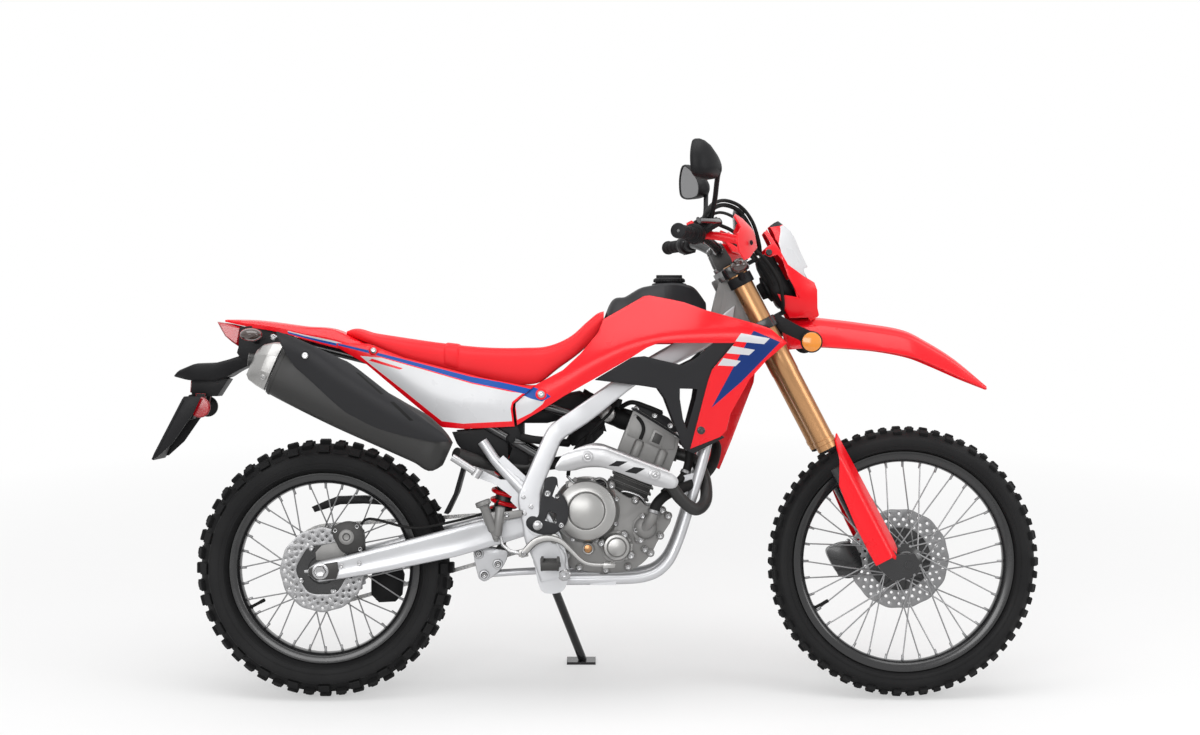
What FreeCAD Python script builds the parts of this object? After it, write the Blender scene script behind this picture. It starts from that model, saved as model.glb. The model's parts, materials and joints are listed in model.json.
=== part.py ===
import FreeCAD, Part
import Sketcher
import json
import math
import os

V = FreeCAD.Vector
doc = FreeCAD.newDocument("DualSport")

# Driving dimensions, in millimetres and degrees
SIZES = [
    ("wheelbase", 1455), ("rake", 27.5), ("lean", 10), ("head_height", 980), ("trail_offset", 69.5),
    ("clamp_offset", 26), ("tread_crown_r", 62), ("bearing_gap", 0.1),
    ("rear_tyre_h", 96.5), ("rear_tyre_w", 120), ("rear_seat_r", 228.5), ("rear_rim_w", 54.6),
    ("front_tyre_h", 74.3), ("front_tyre_w", 86), ("front_seat_r", 266.7), ("front_rim_w", 40.6),
    ("flange_lip", 10.5), ("rim_wall", 4.5), ("rim_well", 11), ("tyre_wall", 9), ("tread_depth", 12),
    ("rear_hub_r", 30), ("rear_flange_r", 52), ("rear_axle_r", 10), ("rear_spokes", 32),
    ("front_hub_r", 24), ("front_flange_r", 42), ("front_axle_r", 10), ("front_spokes", 36),
    ("spoke_r", 2), ("spoke_cross", 48), ("flange_gap", 27),
    ("rear_disc_r", 106), ("rear_disc_in", 64), ("front_disc_r", 128), ("front_disc_in", 76), ("hub_half", 80),
    ("disc_wall", 4), ("disc_plane", 72), ("chain_plane", 76), ("chain_pitch", 15.875),
    ("rear_teeth", 40), ("front_teeth", 14), ("sprocket_wall", 6), ("chain_width", 18),
    ("countershaft_x", 612), ("countershaft_z", 432),
    ("pivot_x", 538), ("pivot_z", 440), ("arm_inner", 92), ("arm_wall", 26),
    ("fork_spread", 107), ("fork_tube_r", 26), ("fork_leg_r", 21), ("stem_r", 15), ("head_tube_r", 32),
    ("clamp_wall", 26), ("bar_r", 11.1), ("grip_r", 16), ("bar_half", 405), ("bar_rise", 150),
    ("spar_wall", 28), ("cradle_r", 12), ("rail_r", 11), ("stand_r", 11), ("stand_foot_y", 289),
    ("panel_wall", 4), ("seat_half", 92), ("tank_half", 118), ("shroud_half", 205),
    ("case_half", 88), ("cover_depth", 52), ("header_r", 16), ("can_r", 56), ("can_y", 165),
    ("peg_y", 122), ("peg_length", 108), ("cap_r", 38), ("running_gap", 0.3),
    ("plate_hole_r", 3.3), ("skid_hole_r", 3.4), ("skid_hole_y", 94),
]
sheet = doc.addObject("Spreadsheet::Sheet", "Sizes")
for row, (alias, size) in enumerate(SIZES, 1):
    sheet.set(f"A{row}", alias)
    sheet.set(f"B{row}", str(size))
    sheet.setAlias(f"B{row}", alias)
# A tyre's outer radius follows its rim
for row, side in enumerate(("rear", "front"), len(SIZES) + 2):
    sheet.set(f"A{row}", f"{side}_tyre_r")
    sheet.set(f"B{row}", f"={side}_seat_r + {side}_tyre_h")
    sheet.setAlias(f"B{row}", f"{side}_tyre_r")
doc.recompute()


def cell(alias):
    return float(sheet.get(alias))


def number(value):
    # A size is a plain number, a cell's name, or a cell's name, what is added to it and its sign
    if isinstance(value, str):
        return cell(value)
    if isinstance(value, tuple):
        return cell(value[0]) * (value[2] if len(value) > 2 else 1) + value[1]
    return float(value)


def formula(value):
    if isinstance(value, str):
        return f"Sizes.{value}"
    return f"Sizes.{value[0]} * {value[2] if len(value) > 2 else 1} + {value[1]}"


def minus(value):
    if isinstance(value, str):
        return (value, 0, -1)
    return (value[0], -value[1], -1) if isinstance(value, tuple) else -value


def bind(thing, prop, value):
    if isinstance(value, (str, tuple)):
        thing.setExpression(prop, formula(value))
    else:
        setattr(thing, prop, value)


nodes = {}
LEAN = FreeCAD.Rotation(V(1, 0, 0), -cell("lean"))
RAKE = FreeCAD.Rotation(V(0, 1, 0), -cell("rake"))
REAR_AXLE = V(0, 0, cell("rear_tyre_r"))
FRONT_AXLE = V(cell("wheelbase"), 0, cell("front_tyre_r"))
rake_angle = math.radians(cell("rake"))
lean_angle = math.radians(cell("lean"))
# Length along the steering axis from the head's height down to the axle
axle_drop = (cell("head_height") - cell("front_tyre_r") + cell("trail_offset") * math.sin(rake_angle)) / math.cos(rake_angle)
HEAD = V(
    cell("wheelbase") - cell("trail_offset") * math.cos(rake_angle) - axle_drop * math.sin(rake_angle),
    0,
    cell("head_height"),
)
# The round tread rolls a little as the wheels lean, so the axles drop by this much less
lift = cell("tread_crown_r") * (1 - math.cos(lean_angle))


def placed(base=V(0, 0, 0), turn=FreeCAD.Rotation()):
    return FreeCAD.Placement(base, turn)


CHASSIS = placed()
STEERING = placed(HEAD, RAKE)


def node(label, shape_object, frame=CHASSIS):
    shape_object.Label = label
    nodes[label] = (shape_object, frame.multiply(shape_object.Placement))
    return shape_object


# Profiles, bodies and the joining of pieces


def draw(body, plane, points, shift=0, name="Outline"):
    # A point with a third entry "arc" is where a round stretch passes between its neighbours
    sketch = body.newObject("Sketcher::SketchObject", name)
    support = [f for f in body.Origin.OriginFeatures if f.Role == plane][0]
    sketch.AttachmentSupport = [(support, "")]
    sketch.MapMode = "FlatFace"
    if isinstance(shift, (str, tuple)):
        sketch.setExpression("AttachmentOffset.Base.z", formula(shift))
    else:
        sketch.AttachmentOffset = placed(V(0, 0, shift))
    at = [V(number(p[0]), number(p[1]), 0) for p in points]
    corners = [i for i, p in enumerate(points) if len(p) == 2]
    made, begins = [], []
    for here, after in zip(corners, corners[1:] + corners[:1]):
        between = (here + 1) % len(points)
        if between == after:
            made.append(Part.LineSegment(at[here], at[after]))
            begins.append(1)
            continue
        ahead = (at[between] - at[here]).cross(at[after] - at[between]).z > 0
        ends = (at[here], at[after]) if ahead else (at[after], at[here])
        made.append(Part.Arc(ends[0], at[between], ends[1]))
        begins.append(1 if ahead else 2)
    sketch.addGeometry(made, False)
    for edge, here in enumerate(corners):
        following = (edge + 1) % len(corners)
        start = begins[edge]
        sketch.addConstraint(Sketcher.Constraint("Coincident", edge, 3 - start, following, begins[following]))
        for kind, value in (("DistanceX", points[here][0]), ("DistanceY", points[here][1])):
            index = sketch.addConstraint(Sketcher.Constraint(kind, -1, 1, edge, start, number(value)))
            if isinstance(value, (str, tuple)):
                sketch.setExpression(f"Constraints[{index}]", formula(value))
    return sketch


def new_body(name):
    return doc.addObject("PartDesign::Body", name)


def turned(name, profile, closed=360):
    # Profile in (radius, width) about the width axis
    body = new_body(name)
    sketch = draw(body, "XY_Plane", profile)
    feature = body.newObject("PartDesign::Revolution", "Turned")
    feature.Profile = (sketch, [""])
    feature.ReferenceAxis = (sketch, ["V_Axis"])
    feature.Angle = closed
    return body


def plate(name, outline, inner, wall):
    # Outline in (forward, up), from inner outwards to the bike's right by wall
    body = new_body(name)
    sketch = draw(body, "XZ_Plane", outline, inner)
    pad = body.newObject("PartDesign::Pad", "Plate")
    pad.Profile = (sketch, [""])
    bind(pad, "Length", wall)
    return body


def rod(name, start, end, radius, radius_end=None):
    way = end - start
    shape = doc.addObject("Part::Cone" if radius_end is not None else "Part::Cylinder", name)
    if radius_end is None:
        bind(shape, "Radius", radius)
    else:
        bind(shape, "Radius1", radius)
        bind(shape, "Radius2", radius_end)
    shape.Height = way.Length
    shape.Placement = placed(start, FreeCAD.Rotation(V(0, 0, 1), way))
    return shape


def disc_at(name, centre, radius, depth):
    # Round boss whose face looks to the bike's right
    return rod(name, centre, centre + V(0, -depth, 0), radius)


def block(name, low, high, turn=None, about=None):
    shape = doc.addObject("Part::Box", name)
    shape.Length, shape.Width, shape.Height = high.x - low.x, high.y - low.y, high.z - low.z
    shape.Placement.Base = low
    if turn:
        spin = placed(about, turn).multiply(placed(V() - about))
        shape.Placement = spin.multiply(shape.Placement)
    return shape


def rounded_path(points, bend):
    edges = []
    start = points[0]
    for before, corner, after in zip(points, points[1:], points[2:]):
        back, ahead = (before - corner).normalize(), (after - corner).normalize()
        half = ahead.getAngle(back) / 2
        run = min(bend / math.tan(half), 0.45 * (before - corner).Length, 0.45 * (after - corner).Length)
        radius = run * math.tan(half)
        middle = corner + (back + ahead).normalize() * (radius / math.sin(half) - radius)
        edges.append(Part.LineSegment(start, corner + back * run).toShape())
        edges.append(Part.Arc(corner + back * run, middle, corner + ahead * run).toShape())
        start = corner + ahead * run
    edges.append(Part.LineSegment(start, points[-1]).toShape())
    return Part.Wire(edges)


def pipe(name, points, radius, bend=60):
    path = doc.addObject("Part::Feature", name + "Path")
    path.Shape = rounded_path(points, bend)
    ring = doc.addObject("Part::Circle", name + "Ring")
    bind(ring, "Radius", radius)
    ring.Placement = placed(points[0], FreeCAD.Rotation(V(0, 0, 1), points[1] - points[0]))
    sweep = doc.addObject("Part::Sweep", name)
    sweep.Sections = [ring]
    sweep.Spine = (path, [])
    sweep.Solid = True
    sweep.Frenet = False
    return sweep


def section(centre, way, half_width, half_height, corner):
    # Rounded rectangle across the way, its width along the bike's width
    up = way.cross(V(0, 1, 0)).normalize() * -1
    side = up.cross(way).normalize()
    corner = min(corner, half_width * 0.98, half_height * 0.98)
    diagonal = corner * (1 - math.sqrt(0.5))
    w, h, c = half_width, half_height, corner
    spots = []
    for su, sw in ((1, 1), (1, -1), (-1, -1), (-1, 1)):
        first, last = (su * w, sw * (h - c)), (su * (w - c), sw * h)
        trio = [first, (su * (w - diagonal), sw * (h - diagonal)), last]
        spots.append(trio if su * sw < 0 else trio[::-1])
    place = lambda p: centre + side * p[0] + up * p[1]
    edges = []
    for index, trio in enumerate(spots):
        edges.append(Part.Arc(*[place(p) for p in trio]).toShape())
        edges.append(Part.LineSegment(place(trio[2]), place(spots[(index + 1) % 4][0])).toShape())
    return Part.Wire(edges)


def lofted(name, stations, ruled=False):
    # Each station is centre, way, half width, half height and corner radius
    rings = []
    for index, station in enumerate(stations):
        ring = doc.addObject("Part::Feature", f"{name}Station{index}")
        ring.Shape = section(*station)
        rings.append(ring)
    loft = doc.addObject("Part::Loft", name)
    loft.Sections = rings
    loft.Solid = True
    loft.Ruled = ruled
    return loft


def fuse(name, pieces):
    joined = doc.addObject("Part::MultiFuse", name)
    joined.Shapes = pieces
    return joined


def cut(name, base, tool):
    less = doc.addObject("Part::Cut", name)
    less.Base, less.Tool = base, tool
    return less


def common(name, first, second):
    shared = doc.addObject("Part::Common", name)
    shared.Base, shared.Tool = first, second
    return shared


def group(name, pieces):
    together = doc.addObject("Part::Compound", name)
    together.Links = pieces
    return together


def mirrored(thing):
    other = doc.addObject("Part::Mirroring", thing.Name + "Left")
    other.Source = thing
    other.Normal = V(0, 1, 0)
    return other


def both(name, thing):
    return group(name, [thing, mirrored(thing)])


def skin(name, grid, wall_way):
    # Smooth sheet through a grid of points, given its thickness along one way
    surface = Part.BSplineSurface()
    surface.interpolate(grid)
    sheet_face = doc.addObject("Part::Feature", name)
    sheet_face.Shape = surface.toShape().extrude(wall_way)
    return sheet_face


# Wheels, about their own axle


def rim(name, seat_r, width):
    half = cell(width) / 2
    lip, wall, well = cell("flange_lip"), cell("rim_wall"), cell("rim_well")
    outer = [
        ((seat_r, lip), half), ((seat_r, 0), half), ((seat_r, -well), 9),
        ((seat_r, -well), -9), ((seat_r, 0), -half), ((seat_r, lip), -half),
        ((seat_r, lip), -half - wall), ((seat_r, -wall), -half - wall), ((seat_r, -well - wall), -11),
        ((seat_r, -well - wall), 11), ((seat_r, -wall), half + wall), ((seat_r, lip), half + wall),
    ]
    return turned(name, outer)


def tyre(name, outer_r, width, seat_r, rim_width):
    gap, wall = cell("running_gap"), cell("tyre_wall")
    bead = cell(rim_width) / 2 - gap
    half = cell(width) / 2
    crown = cell("tread_crown_r")
    radius = cell(outer_r)
    shoulder = half * 0.9
    drop = crown - math.sqrt(crown ** 2 - shoulder ** 2)
    mid = (cell(seat_r) + radius) / 2
    tread_in = cell("tread_depth") + wall
    rise = crown - math.sqrt(crown ** 2 - (shoulder / 2) ** 2)
    lip = cell("flange_lip") + 1
    side = [
        ((outer_r, -drop), shoulder), ((outer_r, -drop - cell("tread_depth")), shoulder),
        (mid, half), ((seat_r, lip), bead), ((seat_r, gap), bead), ((seat_r, gap), bead - wall),
        ((seat_r, lip), bead - wall), (mid, half - wall), ((outer_r, -drop - tread_in), shoulder - wall),
    ]
    back = [(r, -y) for r, y in reversed(side)]
    inside = [((outer_r, -tread_in), 0, "arc")]
    outside = [((outer_r, 0), 0, "arc")]
    return turned(name, side + inside + back + outside)


def spoked_hub(name, hub_r, flange_r, axle_r, seat_r, count, half_width, seats):
    # Seats give, left then right, the plane and radius of the flange that a disc or sprocket bolts to
    gap, barrel = cell("flange_gap"), cell(hub_r) + 6
    bore = (axle_r, cell("bearing_gap"))
    halves = []
    for plane, seat in seats:
        halves.append([
            (bore, half_width), (barrel, half_width), (barrel, plane), (seat, plane), (seat, plane - 6),
            (barrel, plane - 6), (barrel, gap + 6), (flange_r, gap + 3), (flange_r, gap - 3), (hub_r, gap - 8),
        ])
    right = [(r, minus(y)) for r, y in reversed(halves[1])]
    core = turned(name + "Core", halves[0] + right)
    reach = cell(seat_r) - cell("rim_well") - cell("rim_wall") - 2 * cell("running_gap")
    pieces = [core]
    for index in range(int(cell(count))):
        side = 1 if index % 2 else -1
        way = 1 if index // 2 % 2 else -1
        angle = math.radians(360 * index / cell(count))
        inner = angle + way * math.radians(cell("spoke_cross"))
        start = V(math.cos(inner), 0, math.sin(inner)) * (cell(flange_r) - 4) + V(0, side * gap, 0)
        end = V(math.cos(angle), 0, math.sin(angle)) * reach + V(0, side * 4, 0)
        pieces.append(rod(f"{name}Spoke{index}", start, end, "spoke_r"))
    return fuse(name, pieces)


def brake_disc(name, outer, inner, waves, plane):
    body = new_body(name)
    ring = body.newObject("Sketcher::SketchObject", "Ring")
    support = [f for f in body.Origin.OriginFeatures if f.Role == "XZ_Plane"][0]
    ring.AttachmentSupport = [(support, "")]
    ring.MapMode = "FlatFace"
    ring.setExpression("AttachmentOffset.Base.z", formula(plane))
    ring.addGeometry([Part.Circle(V(), V(0, 0, 1), cell(outer)), Part.Circle(V(), V(0, 0, 1), cell(inner))], False)
    for index, alias in enumerate((outer, inner)):
        ring.addConstraint(Sketcher.Constraint("Coincident", index, 3, -1, 1))
        ring.addConstraint(Sketcher.Constraint("Radius", index, cell(alias)))
        ring.setExpression(f"Constraints[{2 * index + 1}]", formula(alias))
    pad = body.newObject("PartDesign::Pad", "Plate")
    pad.Profile = (ring, [""])
    bind(pad, "Length", "disc_wall")
    holes = body.newObject("Sketcher::SketchObject", "Wave")
    holes.AttachmentSupport = [(support, "")]
    holes.MapMode = "FlatFace"
    holes.setExpression("AttachmentOffset.Base.z", formula(plane))
    band = cell(outer) - cell(inner)
    step = 2 * math.pi / waves
    spots = [(cell(outer) + 11, 0, 16), (cell(inner) + band * 0.3, step / 2, 4), (cell(inner) + band * 0.62, step / 4, 4)]
    for radius, angle, hole in spots:
        holes.addGeometry(Part.Circle(V(radius * math.cos(angle), radius * math.sin(angle), 0), V(0, 0, 1), hole), False)
    pocket = body.newObject("PartDesign::Pocket", "Cuts")
    pocket.Profile = (holes, [""])
    pocket.Type = "ThroughAll"
    pocket.Reversed = True
    pattern = body.newObject("PartDesign::PolarPattern", "Waves")
    pattern.Originals = [pocket]
    pattern.Axis = (ring, ["N_Axis"])
    pattern.Angle = 360
    pattern.Occurrences = waves
    body.Tip = pattern
    return body


def sprocket(name, teeth, inner, plane):
    pitch_r = cell("chain_pitch") / (2 * math.sin(math.pi / cell(teeth)))
    tip = pitch_r - roller_r - 2 * cell("running_gap")
    body = new_body(name)
    steps = int(cell(teeth))
    rim_points = []
    for index in range(steps):
        for part, radius in ((-0.36, tip - 5), (-0.16, tip), (0.16, tip), (0.36, tip - 5)):
            angle = 2 * math.pi * (index + part) / steps
            rim_points.append(V(radius * math.cos(angle), radius * math.sin(angle), 0))
    sketch = body.newObject("Sketcher::SketchObject", "Teeth")
    sketch.AttachmentSupport = [([f for f in body.Origin.OriginFeatures if f.Role == "XZ_Plane"][0], "")]
    sketch.MapMode = "FlatFace"
    sketch.AttachmentOffset = placed(V(0, 0, plane))
    sketch.addGeometry([Part.LineSegment(a, b) for a, b in zip(rim_points, rim_points[1:] + rim_points[:1])], False)
    sketch.addGeometry(Part.Circle(V(), V(0, 0, 1), inner), False)
    pad = body.newObject("PartDesign::Pad", "Plate")
    pad.Profile = (sketch, [""])
    bind(pad, "Length", "sprocket_wall")
    return body


roller_r = 5
WHEEL_REAR, WHEEL_FRONT = placed(REAR_AXLE), placed(FRONT_AXLE)
node("rear_tyre", tyre("RearTyre", "rear_tyre_r", "rear_tyre_w", "rear_seat_r", "rear_rim_w"), WHEEL_REAR)
node("rear_rim", rim("RearRim", "rear_seat_r", "rear_rim_w"), WHEEL_REAR)
sprocket_plane = cell("chain_plane") - cell("sprocket_wall") / 2
node("rear_hub", spoked_hub(
    "RearHub", "rear_hub_r", "rear_flange_r", "rear_axle_r", "rear_seat_r", "rear_spokes", "hub_half",
    [(sprocket_plane, ("rear_disc_in", 4)), (cell("disc_plane"), ("rear_disc_in", 4))],
), WHEEL_REAR)
node("rear_disc", brake_disc("RearDisc", "rear_disc_r", "rear_disc_in", 10, "disc_plane"), WHEEL_REAR)
node("rear_sprocket", sprocket("RearSprocket", "rear_teeth", cell("rear_disc_in"),
                               -sprocket_plane - cell("sprocket_wall")), WHEEL_REAR)
node("front_tyre", tyre("FrontTyre", "front_tyre_r", "front_tyre_w", "front_seat_r", "front_rim_w"), WHEEL_FRONT)
node("front_rim", rim("FrontRim", "front_seat_r", "front_rim_w"), WHEEL_FRONT)
node("front_hub", spoked_hub(
    "FrontHub", "front_hub_r", "front_flange_r", "front_axle_r", "front_seat_r", "front_spokes", "hub_half",
    [(cell("disc_plane"), ("front_disc_in", 4)), (cell("disc_plane"), "front_flange_r")],
), WHEEL_FRONT)
front_disc = brake_disc("FrontDisc", "front_disc_r", "front_disc_in", 12, "disc_plane")
node("front_disc", mirrored(front_disc), WHEEL_FRONT)

# Steering, about the steering axis: forward, width, and up along the axis from the head's height

spread, offset = cell("fork_spread"), cell("clamp_offset")
tube_top, tube_foot = 106, -461
axle_out = cell("trail_offset")


def in_frame(frame, thing):
    thing.Placement = frame.multiply(thing.Placement)
    return thing


def flat_plate(name, outline, low, wall):
    # Outline in (forward, width), thick upwards
    body = new_body(name)
    sketch = draw(body, "XY_Plane", outline, low)
    pad = body.newObject("PartDesign::Pad", "Plate")
    pad.Profile = (sketch, [""])
    bind(pad, "Length", wall)
    return body


def side_pair(points):
    # Outline given on the bike's right, closed by its mirror image
    return points + [(x, -y) for x, y in reversed(points)]


clamp_plan = side_pair([(-22, -12), (-6, -spread + 30), (0, -spread - 22), (20, -spread - 36),
                        (44, -spread - 32), (58, -spread - 8), (52, -spread + 28), (30, -12)])
fork_right = rod("ForkTube", V(offset, -spread, tube_foot), V(offset, -spread, tube_top), "fork_tube_r")
fork_tubes = both("ForkTubes", fork_right)
clamp_low, clamp_high = -78, 76
clamps = fuse("ClampsSolid", [
    flat_plate("LowerClamp", clamp_plan, clamp_low, "clamp_wall"),
    flat_plate("UpperClamp", clamp_plan, clamp_high, "clamp_wall"),
    rod("Stem", V(0, 0, clamp_low), V(0, 0, clamp_high + 30), "stem_r"),
])
node("triple_clamps", cut("TripleClamps", clamps, fork_tubes), STEERING)
node("fork_tubes", fork_tubes, STEERING)

lug_outline = [(2, -715), (2, -735), (17, -776), (axle_out, -axle_drop - 26), (axle_out + 26, -axle_drop - 10),
               (axle_out + 26, -axle_drop + 18), (56, -722), (50, -700), (4, -700)]
leg_right = fuse("ForkLeg", [
    rod("ForkSlider", V(offset, -spread, tube_foot), V(offset, -spread, -715), "fork_leg_r"),
    plate("AxleLug", lug_outline, spread - 17, 34),
])
axle = rod("FrontAxle", V(axle_out, -spread - 20, -axle_drop), V(axle_out, spread + 20, -axle_drop), "front_axle_r")
spacers = [
    rod(f"FrontSpacer{side}", V(axle_out, side * (cell("hub_half") + cell("running_gap")), -axle_drop),
        V(axle_out, side * (spread - 17), -axle_drop), 17) for side in (-1, 1)
]
node("fork_legs", fuse("ForkLegs", [leg_right, mirrored(leg_right), axle] + spacers), STEERING)

guard_outline = [(64, -387), (66.5, -510), (67.5, -606), (67.4, -695), (65, -711), (47, -728), (41, -720),
                 (-4, -720), (-5, -680), (-4, -614), (2, -538), (6, -502), (37, -445), (53, -398)]
guard_channel = [(-14, -spread - 31), (46, -spread - 31), (67, -spread - 18), (68, -spread + 22),
                 (64, -spread + 22), (63, -spread - 15), (45, -spread - 26.2), (-14, -spread - 26.2)]
guard = common("ForkGuard", plate("GuardSide", guard_outline, spread - 40, 90),
               flat_plate("GuardChannel", guard_channel, -740, 400))
node("fork_guards", both("ForkGuards", guard), STEERING)

grip_in, grip_out = V(-38, -285, 213), V(-71, -cell("bar_half"), 230)
bar_end = grip_in + (grip_out - grip_in) * 0.98
bar_points = [bar_end, V(-16, -205, 203), V(9, -120, 158), V(11.4, -70, cell("bar_rise"))]
bar_points += [V(p.x, -p.y, p.z) for p in reversed(bar_points)]
riser = block("Riser", V(-6, -58, clamp_high + cell("clamp_wall")), V(29, -28, cell("bar_rise") + 17))
bar = pipe("Bar", bar_points, "bar_r", 45)
node("handlebar", fuse("Handlebar", [bar, riser, mirrored(riser)]), STEERING)

grip_way = (grip_out - grip_in).normalize()
perch_at = grip_in - grip_way * 58
grip_solids = fuse("GripSolids", [
    rod("Grip", grip_in + grip_way * 4, grip_out, "grip_r"),
    rod("GripCollar", grip_in - grip_way * 10, grip_in + grip_way * 4, 21),
    rod("SwitchBox", grip_in - grip_way * 44, grip_in - grip_way * 10, 24),
    rod("Perch", perch_at - grip_way * 14, perch_at + grip_way * 14, 18),
    rod("PerchArm", perch_at + V(8, 0, 0), perch_at + V(52, 0, 4), 9),
    rod("Reservoir", perch_at + V(24, 12, 0), perch_at + V(24, 12, 34), 19),
    pipe("Lever", [perch_at + V(50, 6, 4), perch_at + V(56, -30, 4), perch_at + V(30, -120, 14),
                   perch_at + V(6, -176, 24)], 6, 60),
])
controls_right = cut("ControlsRight", grip_solids, bar)
node("hand_controls", both("HandControls", controls_right), STEERING)

mirror_at = V(62, -345, 343)
mirror_turn = FreeCAD.Rotation(V(0, 0, 1), 24)
mirror_spots = [(-9, 31, 60, 29), (-4, 35, 64, 32), (10, 34, 62, 32), (26, 26, 50, 25), (38, 13, 30, 12)]
mirror_front = lofted("MirrorBowl", [(V(x, 0, 0), V(1, 0, 0), *sizes) for x, *sizes in mirror_spots])
mirror_front.Placement = placed(mirror_at, mirror_turn)
mirror_stalk = pipe("MirrorStalk", [perch_at + V(10, 8, 17), perch_at + V(14, 4, 60), perch_at + V(40, -60, 95),
                                    mirror_at + V(14, 14, -14)], 5.5, 25)
mirror_foot = rod("MirrorFoot", perch_at + V(10, 8, 18), perch_at + V(12, 7, 36), 9)
mirror_right = fuse("MirrorRight", [mirror_front, mirror_stalk, mirror_foot])
node("mirrors", both("Mirrors", cut("MirrorSeated", mirror_right, grip_solids)), STEERING)

shield_plan = [(62, -205), (88, -235), (96, -300, "arc"), (64, -385), (44, -415), (41, -412), (60, -382),
               (92, -300, "arc"), (85, -238), (59, -209)]
shield_front = [(-500, 97), (-330, 96), (-240, 108), (-204, 130), (-206, 168), (-250, 196), (-340, 203), (-500, 190)]
shield_slab = flat_plate("ShieldSlab", shield_plan, 90, 120)


def front_prism(name, outline, low, depth):
    # Outline in (width, up), deep forwards
    body = new_body(name)
    sketch = draw(body, "YZ_Plane", outline, low)
    pad = body.newObject("PartDesign::Pad", "Plate")
    pad.Profile = (sketch, [""])
    bind(pad, "Length", depth)
    return body


shield = common("Shield", shield_slab, front_prism("ShieldFront", shield_front, 20, 100))
shield_stay = rod("ShieldStay", V(92, -268, 140), V(-12, -206, 198), 6)
shield_held = fuse("ShieldHeld", [shield, cut("ShieldStaySeated", shield_stay, fuse("StaySeats", [bar, grip_solids]))])
node("hand_guards", both("HandGuards", shield_held), STEERING)


def rows(lines, count, shape):
    return [[shape(line, (2 * k / (count - 1)) - 1) for k in range(count)] for line in lines]


# Front face of the cowl from chin to top: forward, up, half width, and how far its sides sweep back
cowl_lines = [(158, -108, 50, 20), (183, -62, 78, 48), (196, -15, 92, 58), (200, 50, 88, 60), (201, 115, 66, 46),
              (186, 149, 46, 24)]
cowl_skin = skin("CowlSkin", rows(cowl_lines, 7, lambda p, k: V(p[0] - p[3] * k * k, k * p[2], p[1])),
                 V(-cell("panel_wall"), 0, 0))
lamp_hole = [(-44, -50), (44, -50), (56, -20), (48, 12), (-48, 12), (-56, -20)]
cowl_boss = rod("CowlBoss", V(124.3, -60, 50), V(168.5, -60, 50), 4)
cowl_solid = fuse("CowlSolid", [cut("CowlOpen", cowl_skin, front_prism("LampHole", lamp_hole, 0, 260)), cowl_boss,
                                mirrored(cowl_boss)])
node("headlight_cowl", cowl_solid, STEERING)
lamp_face = [(-43, -49), (43, -49), (55, -20), (47, 11), (-47, 11), (-55, -20)]
lamp_box = [(-62, -60), (62, -60), (70, -10), (62, 60), (40, 105), (-40, 105), (-62, 60), (-70, -10)]
lamp_stays = [block("LampStayUpper", V(24, 34, 82), V(90, 46, 94)), block("LampStayLower", V(24, 48, -68), V(90, 60, -56))]
headlight = fuse("HeadlightSolid", [
    front_prism("LampLens", lamp_face, 88, 92), front_prism("LampBox", lamp_box, 84, 40),
] + lamp_stays + [mirrored(stay) for stay in lamp_stays])
node("headlight", cut("Headlight", headlight, clamps), STEERING)
meter_turn = FreeCAD.Rotation(V(0, 1, 0), 25)
node("instrument", fuse("Instrument", [
    block("MeterBox", V(62, -62, 142), V(88, 62, 232), meter_turn, V(75, 0, 142)),
    block("MeterStay", V(86, -18, 105.3), V(94, 18, 160)),
]), STEERING)

fender_top = [(78, -80), (124, -99), (167, -124), (250, -181), (331, -242), (372, -296), (415, -370), (456, -468)]
fender_edge = [(57, -150), (125, -178), (200, -222), (262, -262), (322, -310), (362, -356), (410, -417), (454, -470)]
fender_half = [58, 66, 70, 70, 66, 56, 40, 8]
fender_lines = list(zip(fender_top, fender_edge, fender_half))
# Steps across the fender, closer together where its sides turn down
fender_steps = (0, 0.3, 0.55, 0.74, 0.86, 0.94, 1)


def fender_point(line, k):
    top, edge, half = line
    fall = 0.9 * abs(k) ** 3.2 + 0.1 * k * k
    return V(top[0] + (edge[0] - top[0]) * fall, k * half, top[1] + (edge[1] - top[1]) * fall)


fender_across = [-k for k in reversed(fender_steps[1:])] + list(fender_steps)
fender_grid = [[fender_point(line, k) for k in fender_across] for line in fender_lines]
fender_skin = skin("FenderSkin", fender_grid, V(0, 0, -cell("panel_wall")))
fender_stay = block("FenderStay", V(4, -24, clamp_low - 10), V(100, 24, clamp_low - cell("running_gap")))
node("front_fender", fuse("FrontFender", [fender_skin, fender_stay]), STEERING)

reflector_at = V(112, -104, -157)
lamp_bracket = plate("LampBracket", [(50, -58), (68, -54), (126, -138), (126, -176), (98, -176), (60, -104), (50, -76)], 100, 4)
indicator_front = doc.addObject("Part::Ellipsoid", "IndicatorFront")
indicator_front.Radius1, indicator_front.Radius2, indicator_front.Radius3 = 18, 22, 26
indicator_front.Placement = placed(V(34, -spread - 72, 92))
indicator_clip = cut("IndicatorClip", rod("IndicatorRing", V(offset, -spread, 46), V(offset, -spread, 72), 32),
                     fork_right)
indicator_stalk = rod("IndicatorStalk", V(34, -spread - 56, 84), V(30, -spread - 29, 62), 8)
lamps_right = group("FrontLampsRight", [
    fuse("ReflectorFront", [cut("LampBracketSeated", lamp_bracket, fuse("BracketSeats", [clamps, fork_right])),
                            disc_at("AmberRound", reflector_at, 27, 9)]),
    fuse("IndicatorRight", [indicator_front, cut("StalkSeated", indicator_stalk, fork_right), indicator_clip]),
])
node("front_lamps", both("FrontLamps", lamps_right), STEERING)

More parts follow.
